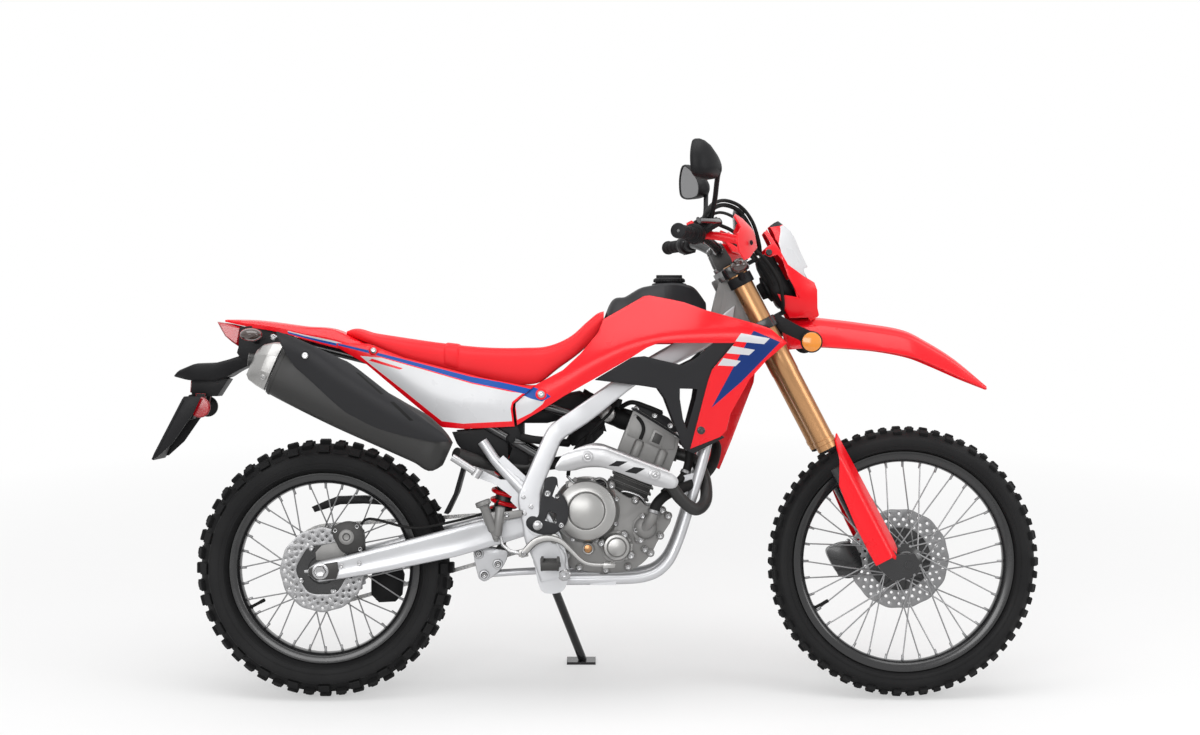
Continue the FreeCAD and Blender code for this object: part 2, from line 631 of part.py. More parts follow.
caliper_solid = fuse("CaliperSolid", [
    block("CaliperBody", V(axle_out - 157.5, 52, 16.5 - axle_drop), V(axle_out - 85.5, 98, 106.5 - axle_drop)),
    block("CaliperLug", V(axle_out - 99.5, 84, 36.5 - axle_drop), V(axle_out - 55.5, 98, 66.5 - axle_drop)),
])
disc_space = rod("DiscSpace", V(axle_out, cell("disc_plane") - 4, -axle_drop),
                 V(axle_out, cell("disc_plane") + cell("disc_wall") + 4, -axle_drop), ("front_disc_r", 5))
caliper_around = fuse("CaliperAround", [disc_space, mirrored(leg_right)])
node("front_caliper", cut("FrontCaliper", caliper_solid, caliper_around), STEERING)


# Chassis, in the bike's own frame: forward from the rear axle, left, up from the ground


def spine_loft(name, spots, ruled=False):
    # Each spot is centre x, y, z, half width, half height, corner
    centres = [V(*s[:3]) for s in spots]
    stations = []
    for index, spot in enumerate(spots):
        before, after = centres[max(index - 1, 0)], centres[min(index + 1, len(spots) - 1)]
        stations.append((centres[index], (after - before).normalize(), *spot[3:]))
    return lofted(name, stations, ruled)


pivot = V(cell("pivot_x"), 0, cell("pivot_z"))
spar_y = cell("arm_inner") + cell("arm_wall") + 3
spar_half = cell("spar_wall") / 2
head_at = HEAD + V(math.sin(rake_angle), 0, -math.cos(rake_angle)) * 14
spar_spots = [
    (head_at.x - 34, -44, head_at.z - 16, 12, 30, 6), (880, -74, 878, spar_half, 26, 8),
    (750, -100, 786, spar_half, 24, 8), (655, -spar_y, 717, spar_half, 24, 8), (592, -spar_y, 672, spar_half, 24, 8),
    (553, -spar_y, 604, spar_half, 23, 8), (524, -spar_y, 540, spar_half, 23, 8),
    (517, -spar_y, 490, spar_half, 23, 8), (pivot.x - 14, -spar_y, pivot.z, spar_half, 25, 8),
    (540, -spar_y, 392, spar_half, 25, 8),
]
spar = spine_loft("Spar", spar_spots, True)
head_low, head_high = clamp_low + cell("clamp_wall") + 3, clamp_high - 3
head_tube = in_frame(STEERING, rod("HeadTube", V(0, 0, head_low), V(0, 0, head_high), "head_tube_r"))
head_bore = in_frame(STEERING, rod("HeadBore", V(0, 0, head_low - 5), V(0, 0, head_high + 5), ("stem_r", 0.3)))
gusset = block("HeadGusset", V(head_at.x - 60, -40, head_at.z - 44), V(head_at.x - 18, 40, head_at.z + 14))
foot_plate = plate("FootPlate", [(505, 416), (547, 478), (575, 440), (600, 400), (612, 330), (606, 290), (572, 274),
                                 (546, 276), (534, 340), (508, 395)], spar_y - 6, 12)
shock_beam = rod("ShockBeam", V(470, -spar_y + 4, 652), V(470, spar_y - 4, 652), 12)
cradle_end = rod("CradleEnd", V(585, -spar_y, 318), V(585, spar_y, 318), 12)
pivot_bolt = rod("PivotBolt", V(pivot.x, -spar_y - spar_half - 6, pivot.z), V(pivot.x, spar_y + spar_half + 6, pivot.z), 8)
shock_stay = rod("ShockStay", V(470, -spar_y + 6, 652), V(566, -spar_y, 640), 11)
plate_face = spar_y + 6

# Side stand, standing out to the left with its foot on the ground of the leaning bike
stand_y = cell("stand_foot_y")
foot_z = (stand_y * math.sin(lean_angle) - lift) / math.cos(lean_angle)
stand_pivot = V(558, plate_face + 20, 298)
stand_foot = V(646, stand_y, foot_z)
foot_turn = FreeCAD.Rotation(V(1, 0, 0), cell("lean"))
foot_pad = block("FootPad", stand_foot + V(-42, -24, 0), stand_foot + V(34, 26, 7), foot_turn, stand_foot)
stand_way = (stand_foot - stand_pivot).normalize()
stow_way = V(-0.97, 0.12, 0.2).normalize()
stand_axis = stand_way.cross(stow_way).normalize()
stand_swing = math.degrees(stand_way.getAngle(stow_way))
node("side_stand", fuse("SideStand", [
    rod("StandLeg", stand_pivot, stand_foot + V(0, 0, 6), "stand_r"), foot_pad,
    rod("StandEye", stand_pivot - stand_axis * 11, stand_pivot + stand_axis * 11, 17),
]))
stand_lug = rod("StandLug", stand_pivot - stand_axis * 11.3, stand_pivot - stand_axis * 30, 15)

frame_solid = fuse("FrameSolid", [
    spar, mirrored(spar), foot_plate, mirrored(foot_plate), head_tube, gusset, pivot_bolt, shock_beam, cradle_end,
    shock_stay, mirrored(shock_stay), stand_lug, rod("PivotTubeUpper", V(550, -spar_y, 640), V(550, spar_y, 640), 13),
])
node("frame_spars", cut("FrameSpars", frame_solid, head_bore))

cradle_y = 72
cradle_right = pipe("CradleRight", [
    V(head_at.x - 42, -26, head_at.z - 54), V(958, -cradle_y, 640), V(880, -cradle_y - 8, 380), V(800, -cradle_y - 18, 304),
    V(583, -cradle_y - 26, 302),
], "cradle_r", 70)
cradle_solid = fuse("CradleSolid", [
    cradle_right, mirrored(cradle_right),
    rod("CradleCross", V(925, -cradle_y - 4, 520), V(925, cradle_y + 4, 520), 10),
    rod("CradleHead", V(head_at.x - 42, -34, head_at.z - 50), V(head_at.x - 42, 34, head_at.z - 50), 14),
])
skid_x = 700
skid_hole = rod("SkidHole", V(skid_x, -cell("skid_hole_y"), 280), V(skid_x, -cell("skid_hole_y"), 330), "skid_hole_r")
node("frame_cradle", cut("FrameCradle", cradle_solid, fuse("CradleCuts", [frame_solid, skid_hole, mirrored(skid_hole)])))

rail_right = fuse("RailRight", [
    pipe("SeatRail", [V(622, -spar_y + 30, 712), V(420, -82, 772), V(-110, -50, 902)], "rail_r", 200),
    pipe("SeatStay", [V(545, -spar_y + 12, 606), V(400, -92, 690), V(222, -72, 816)], "rail_r", 200),
])
rail_seated = cut("RailSeated", rail_right, fuse("RailSeats", [spar, shock_beam, shock_stay]))
rails = both("Rails", rail_right)
subframe_solid = fuse("Subframe", [
    rail_seated, mirrored(rail_seated), rod("RailCross", V(262, -72, 811), V(262, 72, 811), 8),
    rod("RailEnd", V(80, -61, 855), V(80, 61, 855), 8),
])
node("subframe", subframe_solid)

arm_in, arm_out = cell("arm_inner"), cell("arm_inner") + cell("arm_wall")
arm_side = [(-28, 324), (-11, 347), (55, 361), (392, 449), (500, 468), (pivot.x, pivot.z + 26),
            (pivot.x + 26, pivot.z), (pivot.x, pivot.z - 26), (442, 390), (335, 360), (150, 322), (-9, 296), (-26, 306)]
arm_plan = [(-40, -arm_in), (-40, -arm_out), (300, -arm_out), (420, -arm_out + 14), (575, -arm_out + 14),
            (575, -arm_in + 4), (420, -arm_in + 4), (300, -arm_in)]
arm = common("ArmRight", plate("ArmSide", arm_side, arm_in - 10, arm_out - arm_in + 20), flat_plate("ArmPlan", arm_plan, 280, 220))
swingarm_solid = fuse("SwingarmSolid", [
    arm, mirrored(arm), rod("PivotTube", V(pivot.x, -arm_in, pivot.z), V(pivot.x, arm_in, pivot.z), 14),
    block("ArmBridge", V(cell("rear_tyre_r") + 20, -arm_in, 392), V(cell("rear_tyre_r") + 73, arm_in, 436)),
    rod("RearAxle", REAR_AXLE + V(0, -arm_out - 12, 0), REAR_AXLE + V(0, arm_out + 12, 0), "rear_axle_r"),
    rod("RearSpacerRight", REAR_AXLE + V(0, -arm_in, 0), REAR_AXLE + V(0, -cell("hub_half") - cell("running_gap"), 0), 16),
    rod("RearSpacerLeft", REAR_AXLE + V(0, arm_in, 0), REAR_AXLE + V(0, cell("hub_half") + cell("running_gap"), 0), 16),
    rod("AxleNut", REAR_AXLE + V(0, -arm_out - 14, 0), REAR_AXLE + V(0, -arm_out, 0), 16),
    rod("AxleHead", REAR_AXLE + V(0, arm_out + 12, 0), REAR_AXLE + V(0, arm_out, 0), 16),
])
swingarm = node("swingarm", cut("Swingarm", swingarm_solid, pivot_bolt))

shock = fuse("ShockSolid", [
    rod("ShockSpring", V(452, 0, 500), V(466, 0, 612), 33), rod("ShockRod", V(444, 0, 372), V(470, 0, 640), 9),
    rod("ShockEye", V(470, -15, 652), V(470, 15, 652), 20), rod("ShockFork", V(444, -16, 366), V(444, 16, 366), 15),
    rod("ShockTank", V(500, 54, 520), V(507, 54, 610), 20), block("ShockNeck", V(462, 20, 590), V(500, 50, 608)),
])
link = fuse("LinkSolid", [
    plate("LinkPlate", [(375, 362), (390, 376), (456, 372), (456, 348), (440, 322), (404, 296), (388, 304)], -24, 48),
    rod("LinkRod", V(400, 0, 308), V(575, 0, 312), 10), plate("LinkTab", [(376, 362), (390, 392), (402, 392), (398, 360)], -20, 40),
])
suspension_solid = fuse("SuspensionSolid", [shock, link])
node("rear_suspension", cut("RearSuspension", suspension_solid, fuse("SuspensionSeats", [shock_beam, cradle_end])))

case_outline = [(560, 520), (585, 560), (640, 578), (712, 572), (770, 546), (798, 500), (806, 430), (792, 370),
                (750, 334), (690, 316), (620, 322), (578, 345), (570, 400), (566, 460)]
case_half = cell("case_half")
engine_cases = fuse("EngineCases", [
    plate("CrankcaseRight", case_outline, -58, case_half + 58),
    plate("CrankcaseLeft", [(672, 570), (712, 572), (770, 546), (798, 500), (806, 430), (792, 370), (750, 334),
                            (690, 316), (672, 320)], -case_half, case_half - 58),
])
node("engine_cases", engine_cases)
cylinder = fuse("CylinderSolid", [
    plate("Barrel", [(716, 540), (744, 630), (860, 584), (822, 500)], -54, 108),
    plate("HeadBlock", [(744, 628), (768, 706), (896, 652), (888, 612), (862, 582)], -66, 132),
    plate("CamCover", [(768, 704), (782, 736), (850, 718), (904, 674), (896, 650)], -60, 120),
])
cylinder_seated = node("engine_cylinder", cut("EngineCylinder", cylinder, engine_cases))

clutch_at, filter_at, pump_at = V(658, 0, 475), V(734, 0, 384), V(786, 0, 434)
depth = cell("cover_depth")
generator_at = V(712, 0, 432)
covers = group("EngineCovers", [
    fuse("CoversRight", [
        rod("ClutchCover", clutch_at + V(0, -case_half, 0), clutch_at + V(0, -case_half - depth, 0), 79, 72),
        disc_at("ClutchDisc", clutch_at + V(0, -case_half - depth, 0), 44, 5),
        rod("FilterCover", filter_at + V(0, -case_half, 0), filter_at + V(0, -case_half - 40, 0), 32, 27),
        disc_at("FilterCap", filter_at + V(0, -case_half - 40, 0), 18, 4),
        disc_at("CoverBase", V(706, -case_half, 430), 92, 22),
        rod("PumpCover", pump_at + V(0, -case_half, 0), pump_at + V(0, -case_half - 36, 0), 28, 22),
        rod("PumpPort", pump_at + V(0, -case_half - 14, 10), pump_at + V(34, -case_half - 14, 60), 12),
    ]),
    fuse("CoversLeft", [
        rod("GeneratorCover", generator_at + V(0, case_half, 0), generator_at + V(0, case_half + depth - 6, 0), 76, 66),
        rod("Countershaft", V(cell("countershaft_x"), 58, cell("countershaft_z")),
            V(cell("countershaft_x"), 82, cell("countershaft_z")), 12),
        rod("FrontSprocket", V(cell("countershaft_x"), sprocket_plane, cell("countershaft_z")),
            V(cell("countershaft_x"), sprocket_plane + 6, cell("countershaft_z")), 30),
    ]),
])
node("engine_covers", covers)

airbox_solid = fuse("AirboxSolid", [
    plate("AirboxUpper", [(352, 690), (380, 742), (560, 742), (600, 760), (640, 772), (650, 735), (600, 700),
                          (560, 690)], -64, 128),
    plate("AirboxSide", [(392, 690), (478, 690), (490, 668), (478, 622), (430, 622), (404, 650)], 34, 28),
    plate("AirboxFlap", [(352, 690), (361, 690), (361, 600), (334, 512), (308, 462), (301, 465), (326, 514),
                         (352, 602)], -57, 114),
    rod("ThrottleBody", V(640, 0, 748), V(775, 0, 690), 25),
    disc_at("ThrottleDrum", V(708, 30, 716), 17, 62),
])
node("airbox", cut("Airbox", airbox_solid, fuse("AirboxAround", [shock_beam, cylinder])))

header = pipe("Header", [
    V(874, -10, 616), V(938, -22, 588), V(958, -50, 520), V(952, -100, 478), V(905, -128, 474), V(858, -140, 548),
    V(690, -142, 612), V(640, -134, 608), V(598, -82, 594), V(484, -76, 582), V(420, -84, 588), V(372, -128, 604),
    V(338, -162, 616),
], "header_r", 34)
node("exhaust_pipe", cut("ExhaustPipe", header, cylinder))

can_y, can_r = cell("can_y"), cell("can_r")
can_spots = [(-104, -can_y, 832, 48, can_r, 40), (60, -can_y, 748, 50, can_r + 2, 40), (190, -can_y, 683, 46, can_r - 5, 36),
             (290, -can_y, 632, 34, 38, 26), (330, -can_y + 2, 618, 20, 20, 18)]
can = spine_loft("MufflerCan", can_spots)
cap_spots = [(-154, -can_y, 842, 38, 42, 30), (-138, -can_y, 844, 46, 53, 38), (-104, -can_y, 832, 49, can_r + 1, 40)]
cap = spine_loft("MufflerCap", cap_spots)
muffler_solid = fuse("MufflerSolid", [can, cap])
node("muffler", cut("Muffler", muffler_solid, header))
cover_outline = [(-93, 915), (-39, 898), (61, 851), (94, 833), (300, 677), (322, 651), (275, 651), (163, 677), (61, 730),
                 (-51, 833), (-74, 870)]


def grown(spots, by):
    return [(*s[:3], s[3] + by, s[4] + by, s[5] + by) for s in spots]


cover_shell = cut("CoverShell", spine_loft("CoverOuter", grown(can_spots, 14)), spine_loft("CoverInner", grown(can_spots, 10)))
muffler_cover = common("MufflerCover", plate("CoverSide", cover_outline, can_y - 20, 120), cover_shell)
shield_outline = [(582, 578), (595, 615), (658, 637), (685, 641), (847, 582), (882, 552), (873, 532), (702, 578),
                  (663, 582), (615, 576)]
cover_bosses = [rod(f"CoverBoss{x}", V(x, -can_y - 30, z), V(x, -can_y - 61.5, z), 7) for x, z in ((-23, 845), (190, 700))]
cover_held = fuse("CoverHeld", [muffler_cover] + [cut(boss.Name + "Seated", boss, can) for boss in cover_bosses])
node("exhaust_shields", group("ExhaustShields", [
    cover_held,
    plate("HeaderShield", shield_outline, 142 + cell("header_r") + 0.3, 3),
]))

radiator_stays = [rod("RadiatorStayLower", V(969, 68, 664), V(969, 100, 664), 6),
                  rod("RadiatorStayUpper", V(1030, 34, 861), V(975, 110, 861), 5)]
node("radiator", fuse("Radiator", [
    *[cut(stay.Name + "Seated", stay, cradle_solid) for stay in radiator_stays],
    block("RadiatorCore", V(955, 92, 650), V(985, 148, 850)),
    block("RadiatorTank", V(950, 92, 850), V(990, 148, 872)), block("RadiatorFoot", V(950, 92, 628), V(990, 148, 650)),
]))

tank_half = cell("tank_half")
tank_spots = [(706, 0, 915, 62, 42, 26), (760, 0, 938, tank_half - 18, 66, 40), (828, 0, 960, tank_half - 6, 68, 44),
              (886, 0, 980, tank_half - 44, 50, 34), (926, 0, 988, tank_half - 70, 34, 24),
              (956, 0, 990, tank_half - 80, 18, 14)]
tank_solid = lofted("TankLoft", [(V(*s[:3]), V(1, 0, 0), *s[3:]) for s in tank_spots])
cap_at = V(866, 0, 1024)
neck = rod("TankNeck", cap_at, cap_at + V(0, 0, 18), ("cap_r", 4))
tank_foot = cut("TankFoot", block("TankPad", V(842, -92, 850), V(868, -66, 912)), spar)
node("fuel_tank", fuse("FuelTank", [tank_solid, neck, tank_foot, mirrored(tank_foot)]))
cap_base = cap_at + V(0, 0, 18 + cell("running_gap"))
node("fuel_cap", fuse("FuelCap", [
    rod("CapDisc", cap_base, cap_base + V(0, 0, 12), "cap_r"),
    block("CapRidge", cap_base + V(-30, -7, 12), cap_base + V(30, 7, 20)),
]))

shroud_outline = [
    (545, 722), (600, 757), (679, 802), (771, 855), (807, 878), (835, 889), (1021, 889), (966, 823), (957, 797),
    (915, 628), (988, 658), (1002, 673), (1012, 715), (1058, 800), (1098, 846), (1148, 889), (1108, 924), (1076, 935),
    (1020, 951), (952, 970), (899, 990), (864, 998), (814, 1008), (800, 1006), (757, 981), (704, 951), (699, 947),
    (686, 914), (668, 893), (644, 864), (600, 823), (535, 788),
]
shroud_lines = [(520, 108, 4), (640, 133, 10), (760, 158, 32), (880, 176, 44), (1000, 190, 30), (1160, 205, 12)]


def flank(inset):
    def spot(line, k):
        x, half, crown = line
        return V(x, -(half - inset - crown * max(0, k) ** 2 - 0.35 * crown * max(0, -k) ** 2), 818 + 210 * k)
    return spot


shroud_skin = skin("ShroudSkin", rows(shroud_lines, 7, flank(0)), V(0, cell("panel_wall"), 0))
shroud_right = common("ShroudRight", plate("ShroudSide", shroud_outline, 40, 220), shroud_skin)
shroud_boss = cut("ShroudBossSeated", rod("ShroudBoss", V(840, -100, 960), V(840, -149.5, 960), 7), tank_solid)
node("shrouds", both("Shrouds", fuse("ShroudHeld", [shroud_right, shroud_boss])))
lattice_outline = [(679, 800), (771, 855), (835, 880), (1000, 880), (963, 829), (957, 797), (940, 720), (924, 640), (915, 628),
                   (899, 630), (881, 676), (853, 751), (835, 777), (800, 783), (736, 791)]
lattice_window = [(888, 777), (931, 776), (927, 751), (906, 680), (898, 701), (888, 751)]
lattice_skin = skin("LatticeSkin", rows(shroud_lines, 7, flank(4.3)), V(0, 6, 0))
lattice_side = cut("LatticeSide", plate("LatticePlate", lattice_outline, 40, 220), plate("LatticeWindow", lattice_window, 30, 240))
lattice = common("LatticeRight", lattice_side, lattice_skin)
node("shroud_lattices", both("ShroudLattices", lattice))

seat_spots = [(60, 910, 56, 10), (130, 899, 84, 16), (205, 880, 90, 24), (300, 862, 90, 30), (400, 844, 82, 38),
              (500, 834, 74, 46), (582, 860, 66, 32), (646, 903, 60, 30), (694, 954, 50, 19), (705.7, 962, 46, 14)]
node("seat", lofted("Seat", [(V(x, 0, z), V(1, 0, 0), half, tall, min(tall, 20)) for x, z, half, tall in seat_spots]))

cover_edge = [(30, 890), (47, 874), (112, 837), (300, 681), (352, 677), (483, 683), (543, 722), (533, 788), (515, 784),
              (499, 785), (400, 804), (300, 830), (205, 854), (118, 888)]
cover_lines = [(0, 74), (120, 104), (280, 122), (420, 120), (560, 104)]
cover_skin = skin("CoverSkin", rows(cover_lines, 5, lambda p, k: V(p[0], -(p[1] - 8 * k * k), 785 + 130 * k)),
                  V(0, cell("panel_wall"), 0))
side_cover = common("SideCoverPanel", plate("SideCoverPlate", cover_edge, 40, 120), cover_skin)
side_bosses = [rod("SideBossRear", V(126, -64, 846), V(126, -102, 860), 6), rod("SideBossFront", V(420, -82, 772), V(420, -117.5, 778), 6)]
side_right = fuse("SideCoverRight", [side_cover] + [cut(boss.Name + "Seated", boss, rail_right) for boss in side_bosses])
node("side_covers", both("SideCovers", side_right))

tail_spots = [(-248, 945, 34, 7), (-180, 938, 58, 12), (-60, 919, 74, 16), (48, 904, 80, 20)]
tail = lofted("TailLoft", [(V(x, 0, z), V(1, 0, 0), half, tall, tall * 0.8) for x, z, half, tall in tail_spots])
node("tail_cowl", cut("TailCowl", tail, rails))
rear_arm = plate("RearArm", [(-209, 934), (-140, 930), (-88, 912), (-88, 880), (-150, 846), (-216, 822), (-262, 762), (-328, 758),
                             (-334, 795), (-372, 806), (-366, 822), (-321, 838), (-270, 842), (-212, 860)], -42, 84)
plate_slab = plate("PlateSlab", [(-425, 600), (-344, 757), (-338, 757), (-419, 600)], -90, 180)
plate_stay = plate("PlateStay", [(-344, 757), (-328, 762), (-334, 700), (-376, 692)], -20, 40)
plate_way = V(-157, 0, 81).normalize()
plate_at = V(-344, 0, 757) + V(-81, 0, -157).normalize() * 46
plate_bolts = [
    rod(f"PlateHole{side}", plate_at + V(0, side * 55, 0) + plate_way * 5, plate_at + V(0, side * 55, 0) - plate_way * 15,
        "plate_hole_r") for side in (-1, 1)
]
node("rear_fender", cut("RearFender", fuse("RearFenderSolid", [rear_arm, plate_slab, plate_stay]),
                        fuse("RearFenderCuts", plate_bolts + [rails, tail])))
tail_light = plate("TailLight", [(-267, 938), (-216, 926), (-211, 884), (-248, 908)], -45, 90)
rear_blinker = doc.addObject("Part::Ellipsoid", "RearBlinker")
rear_blinker.Radius1, rear_blinker.Radius2, rear_blinker.Radius3 = 16, 28, 30
rear_blinker.Placement = placed(V(-167, -150, 910))
blinker_right = fuse("BlinkerRight", [rear_blinker, rod("BlinkerStalk", V(-167, -130, 898), V(-167, -42.3, 898), 7)])
side_reflector = fuse("SideReflector", [
    disc_at("ReflectorRound", V(-308, -56, 730), 26, 8), block("ReflectorStay", V(-318, -56, 730), V(-298, -30, 758)),
])
node("tail_lamps", group("TailLamps", [
    tail_light, blinker_right, mirrored(blinker_right), side_reflector, mirrored(side_reflector),
]))

rear_pitch = cell("chain_pitch") / (2 * math.sin(math.pi / cell("rear_teeth")))
front_pitch = cell("chain_pitch") / (2 * math.sin(math.pi / cell("front_teeth")))
counter_at = V(cell("countershaft_x"), 0, cell("countershaft_z"))


def loop_wire(rear_r, front_r, y):
    # Belt line round both sprockets
    rear, front = REAR_AXLE, counter_at
    way = front - rear
    lie = math.atan2(way.z, way.x)
    spread_angle = math.acos((rear_r - front_r) / way.Length)
    spot = lambda centre, radius, angle: centre + V(math.cos(angle) * radius, y, math.sin(angle) * radius)
    up, down = lie + spread_angle, lie - spread_angle
    return Part.Wire([
        Part.LineSegment(spot(rear, rear_r, up), spot(front, front_r, up)).toShape(),
        Part.Arc(spot(front, front_r, up), spot(front, front_r, lie), spot(front, front_r, down)).toShape(),
        Part.LineSegment(spot(front, front_r, down), spot(rear, rear_r, down)).toShape(),
        Part.Arc(spot(rear, rear_r, down), spot(rear, rear_r, lie + math.pi), spot(rear, rear_r, up)).toShape(),
    ])


chain_half = cell("chain_width") / 2
chain = doc.addObject("Part::Feature", "DriveChain")
outer_loop = loop_wire(rear_pitch + 7.5, front_pitch + 7.5, cell("chain_plane") - chain_half)
inner_loop = loop_wire(rear_pitch - roller_r, front_pitch - roller_r, cell("chain_plane") - chain_half)
chain.Shape = Part.Face(outer_loop).cut(Part.Face(inner_loop)).extrude(V(0, 2 * chain_half, 0))
node("drive_chain", chain)

guard_y = cell("chain_plane") + chain_half
chain_guard = fuse("ChainGuardSolid", [
    plate("GuardTop", [(-60, 455), (-43, 478), (150, 500), (286, 500), (286, 496), (150, 496), (-41, 474), (-56, 453)],
          -guard_y - 6, 2 * chain_half + 12),
    plate("GuardStay", [(236, 400), (240, 497), (276, 497), (280, 400)], -guard_y - 11, 5),
    plate("GuideOuter", [(107, 250), (118, 231), (180, 231), (192, 250), (192, 345), (107, 345)], -guard_y - 11, 5),
    plate("GuideLower", [(118, 231), (180, 231), (180, 226), (118, 226)], -guard_y - 11, 30),
])
node("chain_guard", cut("ChainGuard", chain_guard, swingarm_solid))

peg_inner = plate_face + 26
peg_right = fuse("PegRight", [
    block("PegPad", V(545, -peg_inner - cell("peg_length"), 336), V(593, -peg_inner, 362)),
    block("PegHanger", V(556, -peg_inner - 4, 328), V(584, -plate_face, 352)),
])
node("rider_pegs", both("RiderPegs", peg_right))

pedal_y = -plate_face - 14
brake_pedal = fuse("BrakePedal", [
    pipe("PedalArm", [V(532, pedal_y, 406), V(578, pedal_y, 410), V(619, pedal_y - 4, 381),
                      V(662, pedal_y - 6, 350), V(722, pedal_y - 6, 346)], 6, 26),
    block("PedalTip", V(700, pedal_y - 44, 340), V(728, pedal_y - 4, 353)),
    rod("PedalPivot", V(580, -plate_face, 408), V(580, pedal_y - 8, 408), 12),
])
master_y = -spar_y + 4
master = fuse("MasterCylinder", [
    rod("MasterBody", V(428, master_y, 415), V(452, master_y, 500), 13),
    rod("MasterRod", V(420, master_y, 400), V(430, master_y, 420), 5),
    block("MasterStay", V(440, master_y - 6, 455), V(520, master_y + 6, 480)),
])
gear_lever = fuse("GearLever", [
    rod("GearShaft", V(690, case_half, 345), V(690, spar_y + 18, 345), 8),
    rod("GearArm", V(690, spar_y + 11, 345), V(740, spar_y + 13, 328), 6.5),
    rod("GearReach", V(738, spar_y + 13, 328), V(794, spar_y + 15, 342), 6),
    rod("GearTip", V(792, spar_y + 8, 341), V(792, spar_y + 52, 341), 8),
])
node("foot_controls", group("FootControls", [brake_pedal, cut("MasterSeated", master, spar), gear_lever]))

hanger_y = spar_y
hanger = plate("Hanger", [(380, 560), (386, 576), (398, 576), (446, 552), (516, 552), (506, 504), (470, 512), (436, 538)],
               hanger_y - 4, 8)
fold_at = V(392, -hanger_y - 88, 572)
hanger_arm = rod("HangerArm", V(392, -hanger_y, 572), fold_at + V(0, 11.3, 0), 9)
hanger_right = cut("HangerRight", fuse("HangerSolid", [hanger, hanger_arm]), spar)
node("peg_hangers", both("PegHangers", hanger_right))
fold_way = V(-75, 0, 48).normalize()
peg_turn = V(fold_way.z, 0, -fold_way.x)
pillion_right = fuse("PillionPegRight", [
    rod("PegBar", fold_at + fold_way * 8, fold_at + fold_way * 72, 9), rod("PegRoot", fold_at - peg_turn * 11, fold_at + peg_turn * 11, 11),
])
node("pillion_peg_right", pillion_right)
node("pillion_peg_left", mirrored(pillion_right))

rear_caliper_solid = fuse("RearCaliperSolid", [
    block("RearCaliperBody", V(40, -94, 366), V(108, -54, 446)), block("RearCaliperStay", V(-14, -92, 346), V(60, -80, 396)),
])
rear_space = rod("RearDiscSpace", REAR_AXLE + V(0, -cell("disc_plane") + 4, 0),
                 REAR_AXLE + V(0, -cell("disc_plane") - cell("disc_wall") - 4, 0), ("rear_disc_r", 5))
hub_space = rod("RearHubSpace", REAR_AXLE + V(0, -95, 0), REAR_AXLE, ("rear_disc_in", 9))
node("rear_caliper", cut("RearCaliper", rear_caliper_solid, fuse("RearCaliperAround", [rear_space, hub_space, swingarm_solid])))

doc.recompute()
for thing in doc.Objects:
    if {"Invalid", "Error"} & set(thing.State):
        raise RuntimeError(f"{thing.Label} is {thing.State}")

# Parked on its stand, with the middle of the bounding box over the origin
PARK = placed(V(0, 0, lift), LEAN)
low, high = V(0, 0, 0), V(0, 0, 0)
for label in ("front_tyre", "rear_tyre", "rear_fender", "hand_controls", "handlebar", "mirrors", "side_stand"):
    thing, place = nodes[label]
    thing.Placement = PARK.multiply(place)
    for spot in thing.Shape.tessellate(1)[0]:
        low = V(min(low.x, spot.x), min(low.y, spot.y), min(low.z, spot.z))
        high = V(max(high.x, spot.x), max(high.y, spot.y), max(high.z, spot.z))
middle = (low + high) * 0.5
PARK = placed(V(-middle.x, -middle.y, lift), LEAN)
print("low", low, "high", high, "park", PARK.Base)

os.makedirs("parts", exist_ok=True)
for label, (thing, place) in nodes.items():
    thing.Placement = PARK.multiply(place)
    if thing.Shape.isNull() or not thing.Shape.isValid():
        raise RuntimeError(f"{label} has no valid shape")
for label, (thing, place) in nodes.items():
    thing.Shape.exportStep(f"parts/{label}.step")
    print(label, round(thing.Shape.Volume / 1000, 1), "cm3,", len(thing.Shape.Solids), "solids")


def joint(name, parent, child, way, at, **more):
    turn = LEAN.multVec(way)
    spot = PARK.multVec(at)
    return {"name": name, "type": "hinge", "parent": parent, "child": child, "axis": list(turn), "pos": list(spot), **more}


steer_way = RAKE.multVec(V(0, 0, 1))
peg_turn = V(fold_way.z, 0, -fold_way.x)
fold_left = V(fold_at.x, -fold_at.y, fold_at.z)
joints = [
    joint("steering", "chassis", "steering", steer_way, HEAD, range_deg=[-43, 43]),
    joint("front_wheel_spin", "steering", "front_wheel", V(0, 1, 0), FRONT_AXLE, continuous=True),
    joint("rear_wheel_spin", "chassis", "rear_wheel", V(0, 1, 0), REAR_AXLE, continuous=True),
    joint("side_stand_fold", "chassis", "side_stand", stand_axis, stand_pivot, range_deg=[0, stand_swing]),
    joint("pillion_peg_right_fold", "chassis", "pillion_peg_right", peg_turn, fold_at, range_deg=[0, 90]),
    joint("pillion_peg_left_fold", "chassis", "pillion_peg_left", -peg_turn, fold_left, range_deg=[0, 90]),
    {**joint("fuel_cap_lift", "chassis", "fuel_cap", V(0, 0, 1), cap_base, range_m=[0, 0.06]), "type": "slide"},
]


def mount(name, kind, at, way, fit, **dims):
    spot = PARK.multVec(at)
    return {"name": name, "kind": kind, "pos_m": [v / 1000 for v in spot], "axis": list(LEAN.multVec(way)), "fit": fit,
            "dims": dims}


mounts = [
    mount("licence_plate_bolts", "bolt_pattern", plate_at, plate_way, "bolted",
          count=2, pcd_mm=110, hole_r_mm=cell("plate_hole_r")),
    mount("licence_plate_face", "flat_face", plate_at - V(-81, 0, -157).normalize() * -40, plate_way, "rest"),
    mount("skid_plate_bolts", "bolt_pattern", V(skid_x, 0, 302), V(0, 0, -1), "bolted",
          count=2, pcd_mm=2 * cell("skid_hole_y"), hole_r_mm=cell("skid_hole_r")),
    mount("stand_foot_base", "flat_face", stand_foot, foot_turn.multVec(V(0, 0, -1)), "rest"),
]
print("FACTS", json.dumps({"joints": joints, "mounts": mounts}))
